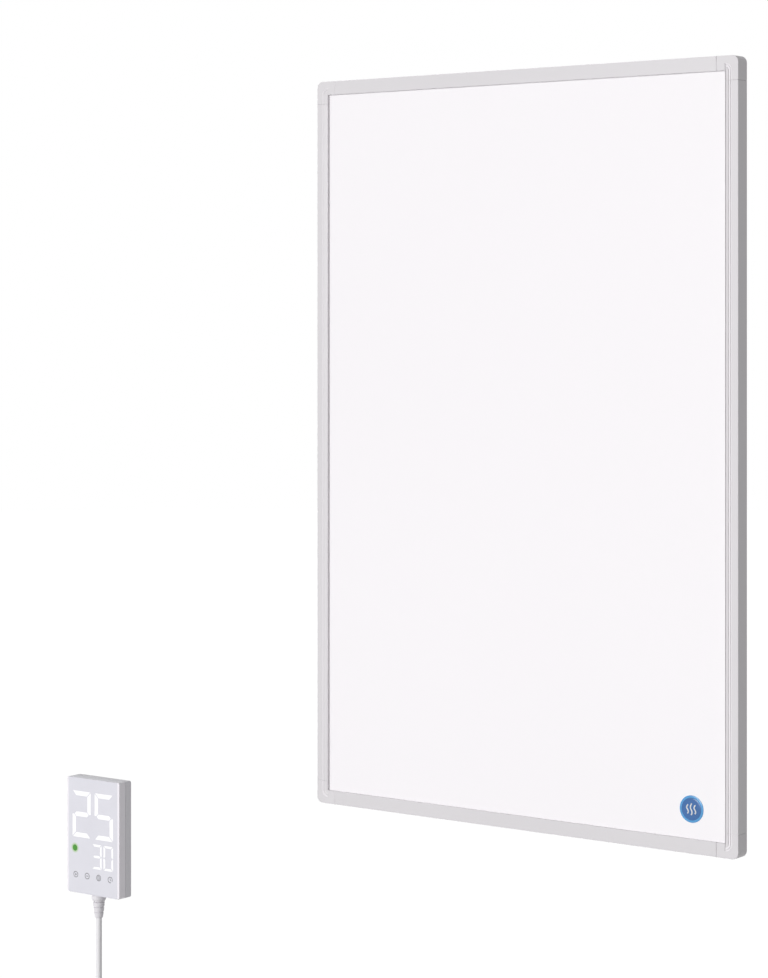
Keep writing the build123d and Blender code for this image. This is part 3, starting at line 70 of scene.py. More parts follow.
@dataclass
class Graph:
    """Adds nodes to one shader tree and joins their sockets."""

    tree: bpy.types.NodeTree

    def add(self, kind: str, inputs: Inputs | None = None, **settings: object) -> bpy.types.Node:
        """Add a node.

        Args:
            kind: Blender's name of the node type.
            inputs: What feeds its inputs, by their label or number.
            settings: Attributes to set on the node.

        Returns:
            The new node.
        """
        node = self.tree.nodes.new(kind)
        for name, setting in settings.items():
            setattr(node, name, setting)
        self.feed(node, inputs or {})
        return node

    def feed(self, node: bpy.types.Node, inputs: Inputs) -> None:
        """Link sockets to a node's inputs, and set numbers and colours on them.

        Args:
            node: Node to feed.
            inputs: What feeds its inputs, by their label or number.
        """
        for label, value in inputs.items():
            if isinstance(value, Socket):
                self.tree.links.new(value, node.inputs[label])
            else:
                node.inputs[label].default_value = value

    def math(self, operation: str, *values: Value, clamp: bool = False) -> Socket:
        """Work out a number from sockets and numbers, kept from 0 to 1 if clamped."""
        inputs = dict(enumerate(values))
        return self.add("ShaderNodeMath", inputs, operation=operation, use_clamp=clamp).outputs[0]

    def times(self, *values: Value) -> Socket:
        """Multiply sockets and numbers together."""
        return reduce(partial(self.math, "MULTIPLY"), values)

    def distance(self, across: Socket, up: Socket) -> Socket:
        """Return the length of a vector in the wall's plane."""
        squares = (self.math("POWER", offset, 2.0) for offset in (across, up))
        return self.math("SQRT", self.math("ADD", *squares))

    def waves(self, length: float, *ways: Socket) -> Socket:
        """Return the product of sine waves of one length along some coordinates."""
        return self.times(*(self.math("SINE", self.times(way, 2 * pi / length)) for way in ways))

    def seen(self, *rays: str) -> Socket:
        """Return 1 on the named kinds of rays, and 0 on those that light the heater."""
        path = self.add("ShaderNodeLightPath").outputs
        return reduce(partial(self.math, "MAXIMUM"), (path[f"Is {ray} Ray"] for ray in rays))

    def mix(self, share: Value, first: Value, second: Value) -> Socket:
        """Mix two colours, where a share of 1 gives the second one alone."""
        inputs = {"Factor": share, 6: first, 7: second}
        return self.add("ShaderNodeMix", inputs, data_type="RGBA").outputs[2]

    def ramp(self, value: Socket, low: float, high: float) -> Socket:
        """Map the values from low to high smoothly to 0 to 1."""
        inputs = {"Value": value, "From Min": low, "From Max": high}
        return self.add("ShaderNodeMapRange", inputs, interpolation_type="SMOOTHSTEP").outputs[0]

    def split(self, vector: Socket) -> tuple[Socket, ...]:
        """Return the sockets of a vector's X, Y and Z."""
        return tuple(self.add("ShaderNodeSeparateXYZ", {0: vector}).outputs)

    def place(self) -> Socket:
        """Return the socket of the place in the row frame."""
        return self.add("ShaderNodeTexCoord").outputs["Object"]

    def facing(self) -> tuple[Socket, ...]:
        """Return the sockets of X, Y and Z of the way that the surface faces."""
        return self.split(self.add("ShaderNodeNewGeometry").outputs["Normal"])

    def noise(self, scale: Value, detail: float) -> Socket:
        """Return the socket of a cloudy noise."""
        inputs = {"Vector": self.place(), "Scale": scale, "Detail": detail}
        return self.add("ShaderNodeTexNoise", inputs).outputs["Fac"]


@dataclass(frozen=True)
class Effect:
    """A node group for an effect that several finishes share."""

    name: str
    inputs: tuple[tuple[str, float], ...]
    outputs: tuple[str, ...]

    def placed(self, graph: Graph, **values: float) -> Sockets:
        """Place the group in a material with its own values, and return its outputs."""
        tree = bpy.data.node_groups.get(self.name) or self._build()
        return graph.add("ShaderNodeGroup", values, node_tree=tree).outputs

    def _build(self) -> bpy.types.NodeTree:
        """Open the group's sockets and join its nodes to them.

        Returns:
            The new group.
        """
        tree = bpy.data.node_groups.new(self.name, "ShaderNodeTree")
        for label, default in self.inputs:
            socket = tree.interface.new_socket(label, in_out="INPUT", socket_type="NodeSocketFloat")
            socket.default_value = default
        for label in self.outputs:
            kind = "NodeSocketVector" if label == "Normal" else "NodeSocketFloat"
            tree.interface.new_socket(label, in_out="OUTPUT", socket_type=kind)
        graph = Graph(tree)
        results = self._results(graph, graph.add("NodeGroupInput").outputs)
        graph.add("NodeGroupOutput", dict(zip(self.outputs, results)))
        return tree

    def _results(self, graph: Graph, given: Sockets) -> tuple[Socket, ...]:
        """Return a socket for each output, worked out from the given inputs."""
        raise NotImplementedError


@dataclass(frozen=True)
class SurfaceGrain(Effect):
    """Fine surface texture of paint or moulded plastic."""

    fine_detail: float = 3.0
    broad_detail: float = 4.0

    def _results(self, graph: Graph, given: Sockets) -> tuple[Socket, ...]:
        """Lay a broad variation over a fine grain.

        Args:
            graph: Graph of the group.
            given: The group's inputs.

        Returns:
            Height, Tone and Gloss.
        """
        fine = graph.noise(graph.math("DIVIDE", 1.0, given["Size"]), self.fine_detail)
        broad = graph.noise(graph.math("DIVIDE", 1.0, given["Patch"]), self.broad_detail)
        tone = graph.math("SUBTRACT", broad, 0.5)
        gloss = graph.math("SUBTRACT", graph.math("ADD", broad, fine), 1.0)
        return fine, tone, gloss


@dataclass(frozen=True)
class EdgeWear(Effect):
    """Rounded outer edges, with a patchy mask on them that marks scuffing, and on the frame's rails
    and caps painted highlights too.
    """

    samples: int = 4
    detail: float = 5.0
    turned: Span = (0.06, 0.3)
    broken: Span = (0.46, 0.62)

    def _results(self, graph: Graph, given: Sockets) -> tuple[Socket, ...]:
        """Find edges by how far a rounded normal turns from the face's own.

        Args:
            graph: Graph of the group.
            given: The group's inputs.

        Returns:
            WearAndHighlight and Normal.
        """
        bevel = graph.add("ShaderNodeBevel", {"Radius": given["Radius"]}, samples=self.samples)
        rounded = bevel.outputs["Normal"]
        true = graph.add("ShaderNodeNewGeometry").outputs["True Normal"]
        facing = graph.add("ShaderNodeVectorMath", {0: rounded, 1: true}, operation="DOT_PRODUCT")
        turned = graph.math("SUBTRACT", 1.0, facing.outputs["Value"], clamp=True)
        patches = graph.noise(graph.math("DIVIDE", 1.0, given["Spread"]), self.detail)
        edge_wear_and_highlight = graph.times(graph.ramp(turned, *self.turned), graph.ramp(patches, *self.broken))
        return edge_wear_and_highlight, rounded


@dataclass(frozen=True)
class SettledDust(Effect):
    """Thin dust on faces that look up."""

    scale: float = 60.0
    detail: float = 6.0
    upward: Span = (0.35, 0.95)
    uneven: Span = (0.35, 0.7)

    def _results(self, graph: Graph, given: Sockets) -> tuple[Socket, ...]:
        """Return the mask of uneven dust on what faces up."""
        uneven = graph.ramp(graph.noise(self.scale, self.detail), *self.uneven)
        return (graph.times(graph.ramp(graph.facing()[2], *self.upward), uneven, given["Amount"]),)


GRAIN = SurfaceGrain(
    "surface_grain", (("Size", 0.001), ("Patch", 0.12)), ("Height", "Tone", "Gloss")
)
EDGES = EdgeWear("edge_wear", (("Radius", 0.0005), ("Spread", 0.02)), ("WearAndHighlight", "Normal"))
DUST = SettledDust("settled_dust", (("Amount", 0.2),), ("Mask",))

# ---- finishes


def tinted(colour: Colour, factor: float = 1.0, limit: float = 1.0) -> tuple[float, ...]:
    """Return a colour as RGBA, made lighter or darker by a factor up to a limit."""
    return (*(min(limit, channel * factor) for channel in colour), 1.0)


@dataclass(frozen=True)
class Finish:
    """A painted or moulded surface with grain, softened edges, slight scuffing and dust, and on the
    frame a painted edge highlight.
    """

    name: str
    slot: str
    colour: Colour
    roughness: float = 0.5
    metallic: float = 0.0
    specular: float = 0.5
    coat: float = 0.0
    coat_roughness: float = 0.12
    tone: float = 0.05
    grain: float = 0.0012
    grain_depth: float = 0.02
    patch: float = 0.12
    gloss_shift: float = 0.12
    edge: float = 0.0004
    # Edge scuffing, and on the frame's rails and caps a painted highlight along the edges.
    edge_wear_and_highlight: float = 0.0
    edge_wear_and_highlight_colour: Colour = (0.5, 0.5, 0.5)
    dust: float = 0.1
    dust_colour: Colour = (0.62, 0.60, 0.57)
    dust_dulling: float = 0.4
    glow: float = 0.0

    def material(self) -> bpy.types.Material:
        """Return this finish's material, built the first time it is asked for."""
        return bpy.data.materials.get(self.name) or self._build()

    def _build(self) -> bpy.types.Material:
        """Make the node tree.

        Returns:
            The new material.
        """
        material = bpy.data.materials.new(self.name)
        material.use_nodes = True
        material.node_tree.nodes.clear()
        graph = Graph(material.node_tree)
        grain = GRAIN.placed(graph, Size=self.grain, Patch=self.patch)
        edges = EDGES.placed(graph, Radius=self.edge)
        dust = DUST.placed(graph, Amount=self.dust)["Mask"]

        # Lighter or darker edges: scuffing, and on the frame's rails and caps a painted highlight.
        wear_and_highlight_share = graph.times(edges["WearAndHighlight"], self.edge_wear_and_highlight)
        colour = graph.mix(wear_and_highlight_share, self._colour(graph, grain["Tone"]), tinted(self.edge_wear_and_highlight_colour))
        colour = graph.mix(dust, colour, tinted(self.dust_colour))
        rough = graph.math("ADD", graph.times(grain["Gloss"], self.gloss_shift), self.roughness)
        rough = graph.math("ADD", rough, graph.times(dust, self.dust_dulling), clamp=True)
        bump = graph.add("ShaderNodeBump", {
            "Distance": self.grain * self.grain_depth,
            "Height": self._height(graph, grain["Height"]),
            "Normal": edges["Normal"],
        })
        shader = graph.add("ShaderNodeBsdfPrincipled", {
            "Base Color": colour,
            "Metallic": self.metallic,
            "Roughness": rough,
            "Specular IOR Level": self.specular,
            "Coat Weight": self.coat,
            "Coat Roughness": self.coat_roughness,
            "Normal": bump.outputs["Normal"],
        })
        if self.glow:
            light = {"Emission Color": tinted(self.colour), "Emission Strength": self.glow}
            graph.feed(shader, light)
        graph.add("ShaderNodeOutputMaterial", {"Surface": shader.outputs["BSDF"]})
        return material

    def _colour(self, graph: Graph, tone: Socket) -> Socket:
        """Vary the base colour gently with a tone from about -0.5 to 0.5."""
        share = graph.math("ADD", graph.times(tone, 2.0), 0.5, clamp=True)
        return graph.mix(share, *(tinted(self.colour, 1 + sign * self.tone) for sign in (-1, 1)))

    def _height(self, graph: Graph, height: Socket) -> Socket:
        """Return the height that the bump follows, the grain alone unless a finish adds to it."""
        return height


@dataclass(frozen=True)
class GalvanisedSheet(Finish):
    """Zinc-coated sheet with its crystal spangle."""

    spangle: float = 0.009
    crystal_share: float = 0.8
    darkest: float = 0.78

    def _colour(self, graph: Graph, tone: Socket) -> Socket:
        """Tint each zinc crystal a little differently.

        Args:
            graph: Graph of the material.
            tone: Broad variation, mixed in with the crystals.

        Returns:
            The socket that carries the colour.
        """
        inputs = {"Vector": graph.place(), "Scale": 1.0 / self.spangle}
        crystals = graph.add("ShaderNodeTexVoronoi", inputs, feature="F1")
        level = graph.add("ShaderNodeRGBToBW", {0: crystals.outputs["Color"]}).outputs[0]
        share = graph.math("ADD", graph.times(level, self.crystal_share), tone, clamp=True)
        return graph.mix(share, tinted(self.colour, self.darkest), tinted(self.colour))


@dataclass(frozen=True)
class ReededPaint(Finish):
    """Paint with painted highlights on the front edges and on the right side's reeds.

    The spans called forward, rising and turning are values of the face normal's Y.
    """

    front_y: float = -0.044
    step: Span = (0.00004, 0.00016)
    reed_depth: float = 0.0016
    reed_foot: float = 0.8
    curl_middle: Spot = (0.2832, 0.4332)
    reed_span: Span = (0.0041, 0.0088)
    blend: float = 0.0001
    # Painted highlight: how much lighter the reeds and front edges are painted, and the lightest
    # allowed.
    highlight_gain: float = 1.27
    highlight_limit: float = 0.95
    fade_x: float = 0.1
    forward: Span = (-0.6, -0.8)
    rising: Span = (-0.15, -0.35)
    turning: Span = (-0.97, -0.88)

    def _colour(self, graph: Graph, tone: Socket) -> Socket:
        """Paint highlights on the front edges, and on the reeds that lie a little behind the flat
        front.

        Args:
            graph: Graph of the material.
            tone: Broad variation over the surface.

        Returns:
            The socket that carries the colour.
        """
        plain = super()._colour(graph, tone)
        x, y, z = graph.split(graph.place())
        normal_y = graph.facing()[1]
        beyond = []
        for value, middle in zip((x, z), self.curl_middle):
            outwards = graph.math("SUBTRACT", graph.math("ABSOLUTE", value), middle)
            beyond.append(graph.math("MAXIMUM", outwards, 0.0))
        distance = graph.distance(*beyond)
        near, far = self.reed_span
        depths = (self.reed_depth, self.reed_depth * self.reed_foot)
        above = graph.ramp(y, *(self.front_y + depth for depth in depths))
        reeds = graph.times(
            graph.ramp(normal_y, *self.forward),
            graph.ramp(y, *(self.front_y + depth for depth in self.step)),
            above,
            graph.ramp(distance, near - self.blend, near + self.blend),
            graph.ramp(distance, far + self.blend, far - self.blend),
            graph.ramp(x, -self.fade_x, self.fade_x),
        )
        # Rounded front edges, whose faces turn part way from the front, get the painted highlight
        # too.
        ramps = (graph.ramp(normal_y, *span) for span in (self.rising, self.turning))
        share = graph.math("MAXIMUM", reeds, graph.times(above, *ramps))
        # Mix in the painted highlight as a lighter tint of the paint.
        return graph.mix(share, plain, tinted(self.colour, self.highlight_gain, self.highlight_limit))


@dataclass(frozen=True)
class ControllerShell(Finish):
    """Pale moulded face with painted highlights along its long sides and light that bleeds round
    the lamp.
    """

    middle_x: float = -0.701
    half_width: float = 0.048
    side_highlight_width: float = 0.0034
    side_highlight_blend: Span = (-0.0004, 0.0006)
    side_highlight_colour: Colour = (0.93, 0.90, 0.95)
    front: Span = (-0.0225, -0.0235)
    lamp: Spot = (-0.7338, -0.5614)
    lamp_colour: Colour = (0.40, 0.60, 0.28)
    lamp_reach: Span = (0.0078, 0.0044)
    halo: float = 0.85

    def _colour(self, graph: Graph, tone: Socket) -> Socket:
        """Mix the face, the painted highlights along its long sides and the lamp's halo.

        Args:
            graph: Graph of the material.
            tone: Broad variation over the surface.

        Returns:
            The socket that carries the colour.
        """
        x, y, z = graph.split(graph.place())
        across = graph.math("ABSOLUTE", graph.math("SUBTRACT", x, self.middle_x))
        # A lighter strip along each long side is a painted highlight.
        inner = self.half_width - self.side_highlight_width
        side = graph.ramp(across, *(inner + blend for blend in self.side_highlight_blend))
        face = graph.mix(side, super()._colour(graph, tone), tinted(self.side_highlight_colour))
        offsets = (graph.math("SUBTRACT", *pair) for pair in zip((x, z), self.lamp))
        near = graph.ramp(graph.distance(*offsets), *self.lamp_reach)
        halo = graph.times(near, graph.ramp(y, *self.front), self.halo)
        return graph.mix(halo, face, tinted(self.lamp_colour))


@dataclass(frozen=True)
class WovenStrap(Finish):
    """Hook-and-loop webbing with a fuzzy rib."""

    rib: float = 0.0011

    def _height(self, graph: Graph, height: Socket) -> Socket:
        """Add the weave's ribs to the fuzz."""
        x, y, z = graph.split(graph.place())
        return graph.math("ADD", height, graph.waves(self.rib, graph.math("ADD", x, y), z))


@dataclass(frozen=True)
class CarbonFilm(Finish):
    """Printed carbon strips under a clear film."""

    strip: float = 0.012
    strip_edge: Span = (-0.6, -0.5)
    bare: Colour = (0.35, 0.33, 0.28)

    def _colour(self, graph: Graph, tone: Socket) -> Socket:
        """Alternate printed strips and bare film, whose borders waver with the tone."""
        wave = graph.math("ADD", graph.waves(self.strip, graph.split(graph.place())[2]), tone)
        return graph.mix(graph.ramp(wave, *self.strip_edge), tinted(self.bare), tinted(self.colour))


# Its lighter edge colour paints highlights on the rails' edges along with scuffing; the reeds and
# front edges get painted highlights as well.
POWDER_COAT = ReededPaint(
    "powder_coat_frame", "frame_paint", (0.667, 0.647, 0.667), roughness=0.42, tone=0.02,
    grain=0.0009, grain_depth=0.03, patch=0.35, edge=0.0003, edge_wear_and_highlight=0.25,
    edge_wear_and_highlight_colour=(0.80, 0.79, 0.80), dust=0.05,
)
PLATE_COAT = Finish(
    "powder_coat_heating_plate", "plate_paint", (0.905, 0.882, 0.905), roughness=0.55, tone=0.008,
    grain=0.0011, grain_depth=0.05, patch=0.5, edge=0.0003, dust=0.0,
)
# Its lighter edge colour paints highlights on the caps' edges and seam chamfers along with
# scuffing.
CAP_PLASTIC = ReededPaint(
    "moulded_corner_cap", "cap_plastic", (0.675, 0.655, 0.675), tone=0.02, grain=0.0006,
    grain_depth=0.05, patch=0.05, edge_wear_and_highlight=0.4, edge_wear_and_highlight_colour=(0.84, 0.83, 0.84), dust=0.05,
)
ZINC_STEEL = Finish(
    "zinc_plated_steel", "zinc_steel", (0.60, 0.61, 0.63), roughness=0.34, metallic=1.0,
    tone=0.08, grain=0.0008, grain_depth=0.03, patch=0.02, gloss_shift=0.3, edge=0.0003,
    edge_wear_and_highlight=0.5, edge_wear_and_highlight_colour=(0.80, 0.80, 0.80), dust=0.08,
)
COVER_SHEET = GalvanisedSheet(
    "galvanised_cover", "cover_steel", (0.66, 0.67, 0.69), roughness=0.40, metallic=1.0,
    grain=0.0015, patch=0.2, gloss_shift=0.35, edge=0.0003,
)
CARBON = CarbonFilm("carbon_print", "carbon_film", (0.03, 0.03, 0.032), roughness=0.35, coat=0.5)
COPPER = Finish(
    "copper_foil", "copper", (0.74, 0.36, 0.22), roughness=0.3, metallic=1.0, tone=0.1, patch=0.03,
)
FIBRE_MAT = Finish(
    "mineral_fibre_mat", "mineral_fibre", (0.62, 0.56, 0.42), roughness=0.95, tone=0.12,
    grain=0.0025, grain_depth=0.35, patch=0.03, specular=0.1,
)
BOX_PLASTIC = Finish(
    "junction_box_moulding", "box_plastic", (0.030, 0.030, 0.033), roughness=0.55, tone=0.1,
    grain=0.0005, grain_depth=0.08, patch=0.04, edge_wear_and_highlight=0.4, edge_wear_and_highlight_colour=(0.12, 0.12, 0.12),
)
BLOCK_PLASTIC = Finish("terminal_moulding", "block_plastic", (0.80, 0.78, 0.70), roughness=0.45)
CUTOUT_CASE = Finish("phenolic_case", "cutout_case", (0.05, 0.035, 0.03), roughness=0.4)
WIRE_SLEEVE = Finish("silicone_wire", "wire_sleeve", (0.42, 0.045, 0.03), grain=0.0007)
GLAND_PLASTIC = Finish(
    "gland_nylon", "gland_plastic", (0.045, 0.045, 0.048), roughness=0.45, tone=0.08,
    grain=0.0005, grain_depth=0.05, edge_wear_and_highlight=0.4, edge_wear_and_highlight_colour=(0.16, 0.16, 0.16),
)
SHELL_PLASTIC = ControllerShell(
    "controller_shell_moulding", "shell_plastic", (0.735, 0.730, 0.790), roughness=0.36,
    coat=0.15, tone=0.018, grain=0.0004, patch=0.03, edge=0.0005, dust=0.03,
)
BACK_PLASTIC = Finish(
    "controller_back_moulding", "shell_plastic", (0.80, 0.79, 0.83), tone=0.015, grain=0.0005,
    grain_depth=0.05, patch=0.04, edge=0.0005, dust=0.04,
)
FIGURE_LIGHT = Finish(
    "lit_white_stroke", "figure_light", (0.92, 0.92, 0.93), roughness=0.4, tone=0.01,
    grain=0.0004, edge=0.0001, dust=0.0, glow=0.12,
)
LAMP_LIGHT = Finish(
    "lit_green_lamp", "lamp_green", (0.050, 0.255, 0.018), roughness=0.35, tone=0.1,
    grain=0.0006, patch=0.006, edge=0.0001, dust=0.0, glow=0.08,
)
BOARD_LAMINATE = Finish(
    "solder_resist", "board_laminate", (0.02, 0.16, 0.07), roughness=0.3, coat=0.3, grain=0.0015,
)
COMPONENT_BLACK = Finish("component_case", "component_black", (0.02, 0.02, 0.02), roughness=0.4)
SENSOR_BEAD = Finish("epoxy_bead", "sensor_bead", (0.03, 0.02, 0.015), roughness=0.2)
SPRING_STEEL = Finish(
    "spring_steel", "spring_steel", (0.62, 0.60, 0.55), roughness=0.3, metallic=1.0,
)
LEAD_SLEEVE = Finish(
    "lead_sleeve", "lead_sleeve", (0.765, 0.745, 0.785), roughness=0.42, tone=0.03,
    grain=0.0016, patch=0.04, edge=0.0002, dust=0.05,
)
RELIEF_PLASTIC = Finish(
    "strain_relief_moulding", "lead_sleeve", (0.775, 0.755, 0.790), tone=0.02, grain=0.0005,
    grain_depth=0.05, patch=0.02, dust=0.05,
)
STRAP_WEB = WovenStrap(
    "hook_and_loop_web", "tie_fabric", (0.30, 0.30, 0.32), roughness=0.9, tone=0.12,
    grain=0.0005, grain_depth=0.5, patch=0.01, specular=0.2,
)
PLUG_PLASTIC = Finish(
    "plug_moulding", "plug_plastic", (0.74, 0.735, 0.75), roughness=0.48, tone=0.03,
    grain=0.0006, grain_depth=0.05, patch=0.03, edge=0.0005, edge_wear_and_highlight=0.2,
    edge_wear_and_highlight_colour=(0.55, 0.55, 0.56), dust=0.08,
)
PIN_METAL = Finish(
    "nickel_plate", "pin_metal", (0.66, 0.64, 0.60), roughness=0.22, metallic=1.0, tone=0.08,
    patch=0.01, gloss_shift=0.3, edge=0.0003, dust=0.0,
)
MARK_INK = Finish("printed_mark", "shell_plastic", (0.045, 0.045, 0.052), tone=0.1, dust=0.0)
STICKER_BLUE = Finish(
    "sticker_blue", "plate_paint", (0.010, 0.110, 0.345), roughness=0.25, coat=0.6, tone=0.10,
    grain=0.0008, grain_depth=0.01, patch=0.012, edge=0.0002, dust=0.0,
)
STICKER_RIM = replace(STICKER_BLUE, name="sticker_rim", colour=(0.055, 0.300, 0.620), patch=0.008)
STICKER_WHITE = Finish(
    "sticker_white", "plate_paint", (0.86, 0.88, 0.90), roughness=0.3, coat=0.5, tone=0.02,
    dust=0.0,
)

# ---- pieces


def paint(obj: bpy.types.Object, finish: Finish) -> None:
    """Give an object one finish in all of its material slots.

    Args:
        obj: CAD node or new piece.
        finish: Its finish.
    """
    material = finish.material()
    if not obj.material_slots:
        obj.data.materials.append(material)
    for material_slot in obj.material_slots:
        material_slot.material = material
    LOG.info("%s has the finish %s", obj.name, finish.name)


def dress(finish: Finish, *names: str) -> None:
    """Give CAD nodes a finish."""
    for name in names:
        paint(NODES[name], finish)


def add_object(name: str, data: bpy.types.ID) -> bpy.types.Object:
    """Put a new object in the scene.

    Args:
        name: Its name.
        data: Its mesh, curve, camera or lamp.

    Returns:
        The object.
    """
    obj = bpy.data.objects.new(name, data)
    bpy.context.scene.collection.objects.link(obj)
    return obj


def add_piece(name: str, data: bpy.types.ID, finish: Finish) -> bpy.types.Object:
    """Put a finished piece in the scene, where it rides on the heater.

    Args:
        name: Name of the piece.
        data: Its mesh or curve in the row frame.
        finish: Its finish.

    Returns:
        The new object.
    """
    piece = add_object(name, data)
    paint(piece, finish)
    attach(piece, "root")
    return piece


def add_solid(name: str, mesh: Mesh, finish: Finish, smooth: bool = True) -> bpy.types.Object:
    """Turn a mesh into a piece.

    Args:
        name: Name of the piece.
        mesh: Finished mesh in the row frame, which is freed.
        finish: Its finish.
        smooth: Whether its faces are shaded smooth.

    Returns:
        The new object.
    """
    bmesh.ops.recalc_face_normals(mesh, faces=mesh.faces)
    data = bpy.data.meshes.new(name)
    mesh.to_mesh(data)
    mesh.free()
    for polygon in data.polygons:
        polygon.use_smooth = smooth
    return add_piece(name, data, finish)


def add_grid(
    mesh: Mesh, rows: Sequence[Sequence[Point]], capped: bool = False
) -> list[list[bmesh.types.BMVert]]:
    """Skin rows of points with quads, each row closed on itself.

    Args:
        mesh: Mesh to add to.
        rows: Rows of points, all of one length.
        capped: Whether the first and the last row are filled.

    Returns:
        The rows of new vertices.
    """
    made = [[mesh.verts.new(point) for point in row] for row in rows]
    count = len(rows[0])
    for above, below in zip(made, made[1:]):
        for i in range(count):
            j = (i + 1) % count
            mesh.faces.new((above[i], above[j], below[j], below[i]))
    if capped:
        mesh.faces.new(made[0])
        mesh.faces.new(list(reversed(made[-1])))
    return made


def four_places(reach: Spot, middle: Spot = (0.0, 0.0)) -> list[Spot]:
    """Return the corners of a rectangle as (x, z), from its half sizes and middle."""
    signs = [(side, level) for side in (-1, 1) for level in (-1, 1)]
    return [(middle[0] + side * reach[0], middle[1] + level * reach[1]) for side, level in signs]


def arc_points(centre: Spot, radius: float, start: float, end: float, steps: int) -> list[Spot]:
    """Return points along an arc as (x, z), its angles in degrees from +X towards +Z."""
    angles = [radians(start + (end - start) * i / steps) for i in range(steps + 1)]
    return [(centre[0] + radius * cos(a), centre[1] + radius * sin(a)) for a in angles]


@dataclass
class PrintedLine:
    """A thin raised line on a face that looks forwards."""

    width: float
    base_y: float
    height: float
    top_share: float = 0.9
    weld: float = 1e-7

    def draw(self, mesh: Mesh, line: Sequence[Spot], closed: bool = False) -> None:
        """Raise the line in X and Z.

        Args:
            mesh: Mesh to add to.
            line: Its middle as (x, z) points.
            closed: Whether it closes on itself.
        """
        first, last = (line[-1], line[0]) if closed else (line[0], line[-1])
        padded = [first, *line, last]
        low, high, top = self.base_y, self.base_y - self.height, self.top_share
        rows: list[list[Point]] = []
        for before, (x, z), after in zip(padded, line, padded[2:]):
            direction = Vector((after[0] - before[0], after[1] - before[1])).normalized()
            side = Vector((-direction.y, direction.x)) * self.width / 2
            rows.append([
                (x - side.x, low, z - side.y), (x - side.x * top, high, z - side.y * top),
                (x + side.x * top, high, z + side.y * top), (x + side.x, low, z + side.y),
            ])
        add_grid(mesh, [*rows, rows[0]] if closed else rows, capped=not closed)
        bmesh.ops.remove_doubles(mesh, verts=mesh.verts, dist=self.weld)


@dataclass
class CrossHeadScrews:
    """A set of pan-head screws with cross recesses, joined into one piece.

    The sizes of the cross and the dome are shares of the head's radius or height.
    """

    name: str
    node: str
    places: list[Spot]
    seat_y: float
    head_radius: float
    head_height: float
    finish: Finish = ZINC_STEEL
    rings: int = 12
    spokes: int = 48
    first_turn: float = 17.0
    turn_step: float = 41.0
    rim_height: float = 0.55
    dome_rise: float = 0.45
    dome_power: float = 2.6
    cross_half_width: float = 0.13
    cross_reach: float = 0.56
    cross_floor: float = 0.35
    cross_slope: float = 0.05
    cross_middle: float = 0.3

    def build(self) -> None:
        """Make the heads, which look towards the wall, in place of the plain CAD screws."""
        mesh = bmesh.new()
        for number, place in enumerate(self.places):
            self._head(mesh, place, radians(self.first_turn + self.turn_step * number))
        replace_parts(add_solid(self.name, mesh, self.finish), self.node)

    def _head(self, mesh: Mesh, place: Spot, turn: float) -> None:
        """Add one domed head with its recess.

        Args:
            mesh: Mesh to add to.
            place: Centre as (x, z).
            turn: How far the driver left the cross turned.
        """
        rows = [
            [self._point(place, turn, ring / self.rings, k) for k in range(self.spokes)]
            for ring in range(1, self.rings + 1)
        ]
        rim = [(x, self.seat_y, z) for x, _, z in rows[-1]]
        made = add_grid(mesh, [*rows, rim])
        middle_y = self.seat_y + self.head_height * self.cross_middle
        middle = mesh.verts.new((place[0], middle_y, place[1]))
        for k in range(self.spokes):
            mesh.faces.new((made[0][k], made[0][(k + 1) % self.spokes], middle))
        mesh.faces.new(list(reversed(made[-1])))

    def _point(self, place: Spot, turn: float, share: float, spoke: int) -> Point:
        """Work out a point of the head's top.

        Args:
            place: Centre as (x, z).
            turn: Turn of the cross.
            share: Distance from the centre as a share of the radius.
            spoke: Number of the spoke.

        Returns:
            The point in the row frame.
        """
        angle = 2 * pi * spoke / self.spokes
        aside = min(abs(share * cos(angle)), abs(share * sin(angle)))
        height = self.rim_height + self.dome_rise * sqrt(max(0.0, 1 - share**self.dome_power))
        if aside < self.cross_half_width and share < self.cross_reach:
            height = height * self.cross_floor + self.cross_slope * share
        x = place[0] + self.head_radius * share * cos(angle + turn)
        z = place[1] + self.head_radius * share * sin(angle + turn)
        return (x, self.seat_y + self.head_height * height, z)


@dataclass
class PanelFrame:
    """The four rails and the four corner caps round the panel."""

    half_width: float = 0.300
    half_height: float = 0.450
    cap_leg: float = 0.02815
    chamber: float = 0.0044
    screw_inset: float = 0.008
    back_y: float = -0.024

    def build(self) -> None:
        """Dress the rails and caps, and make the corner screws."""
        dress(POWDER_COAT, *(f"frame_rail_{side}" for side in ("left", "right", "top", "bottom")))
        dress(CAP_PLASTIC, *(f"corner_cap_{corner}" for corner in CORNERS))
        CrossHeadScrews(
            "corner_screw_heads", "corner_screws", self._screw_places(), self.back_y,
            head_radius=0.0028, head_height=0.0018,
        ).build()

    def _screw_places(self) -> list[Spot]:
        """Places of the eight screws on the back of the frame.

        Returns:
            For each corner the one on the upright rail and the one on the level rail.
        """
        far = self.cap_leg + self.screw_inset
        width, height = self.half_width, self.half_height
        uprights = four_places((width - self.chamber, height - far))
        levels = four_places((width - far, height - self.chamber))
        return [place for pair in zip(uprights, levels) for place in pair]


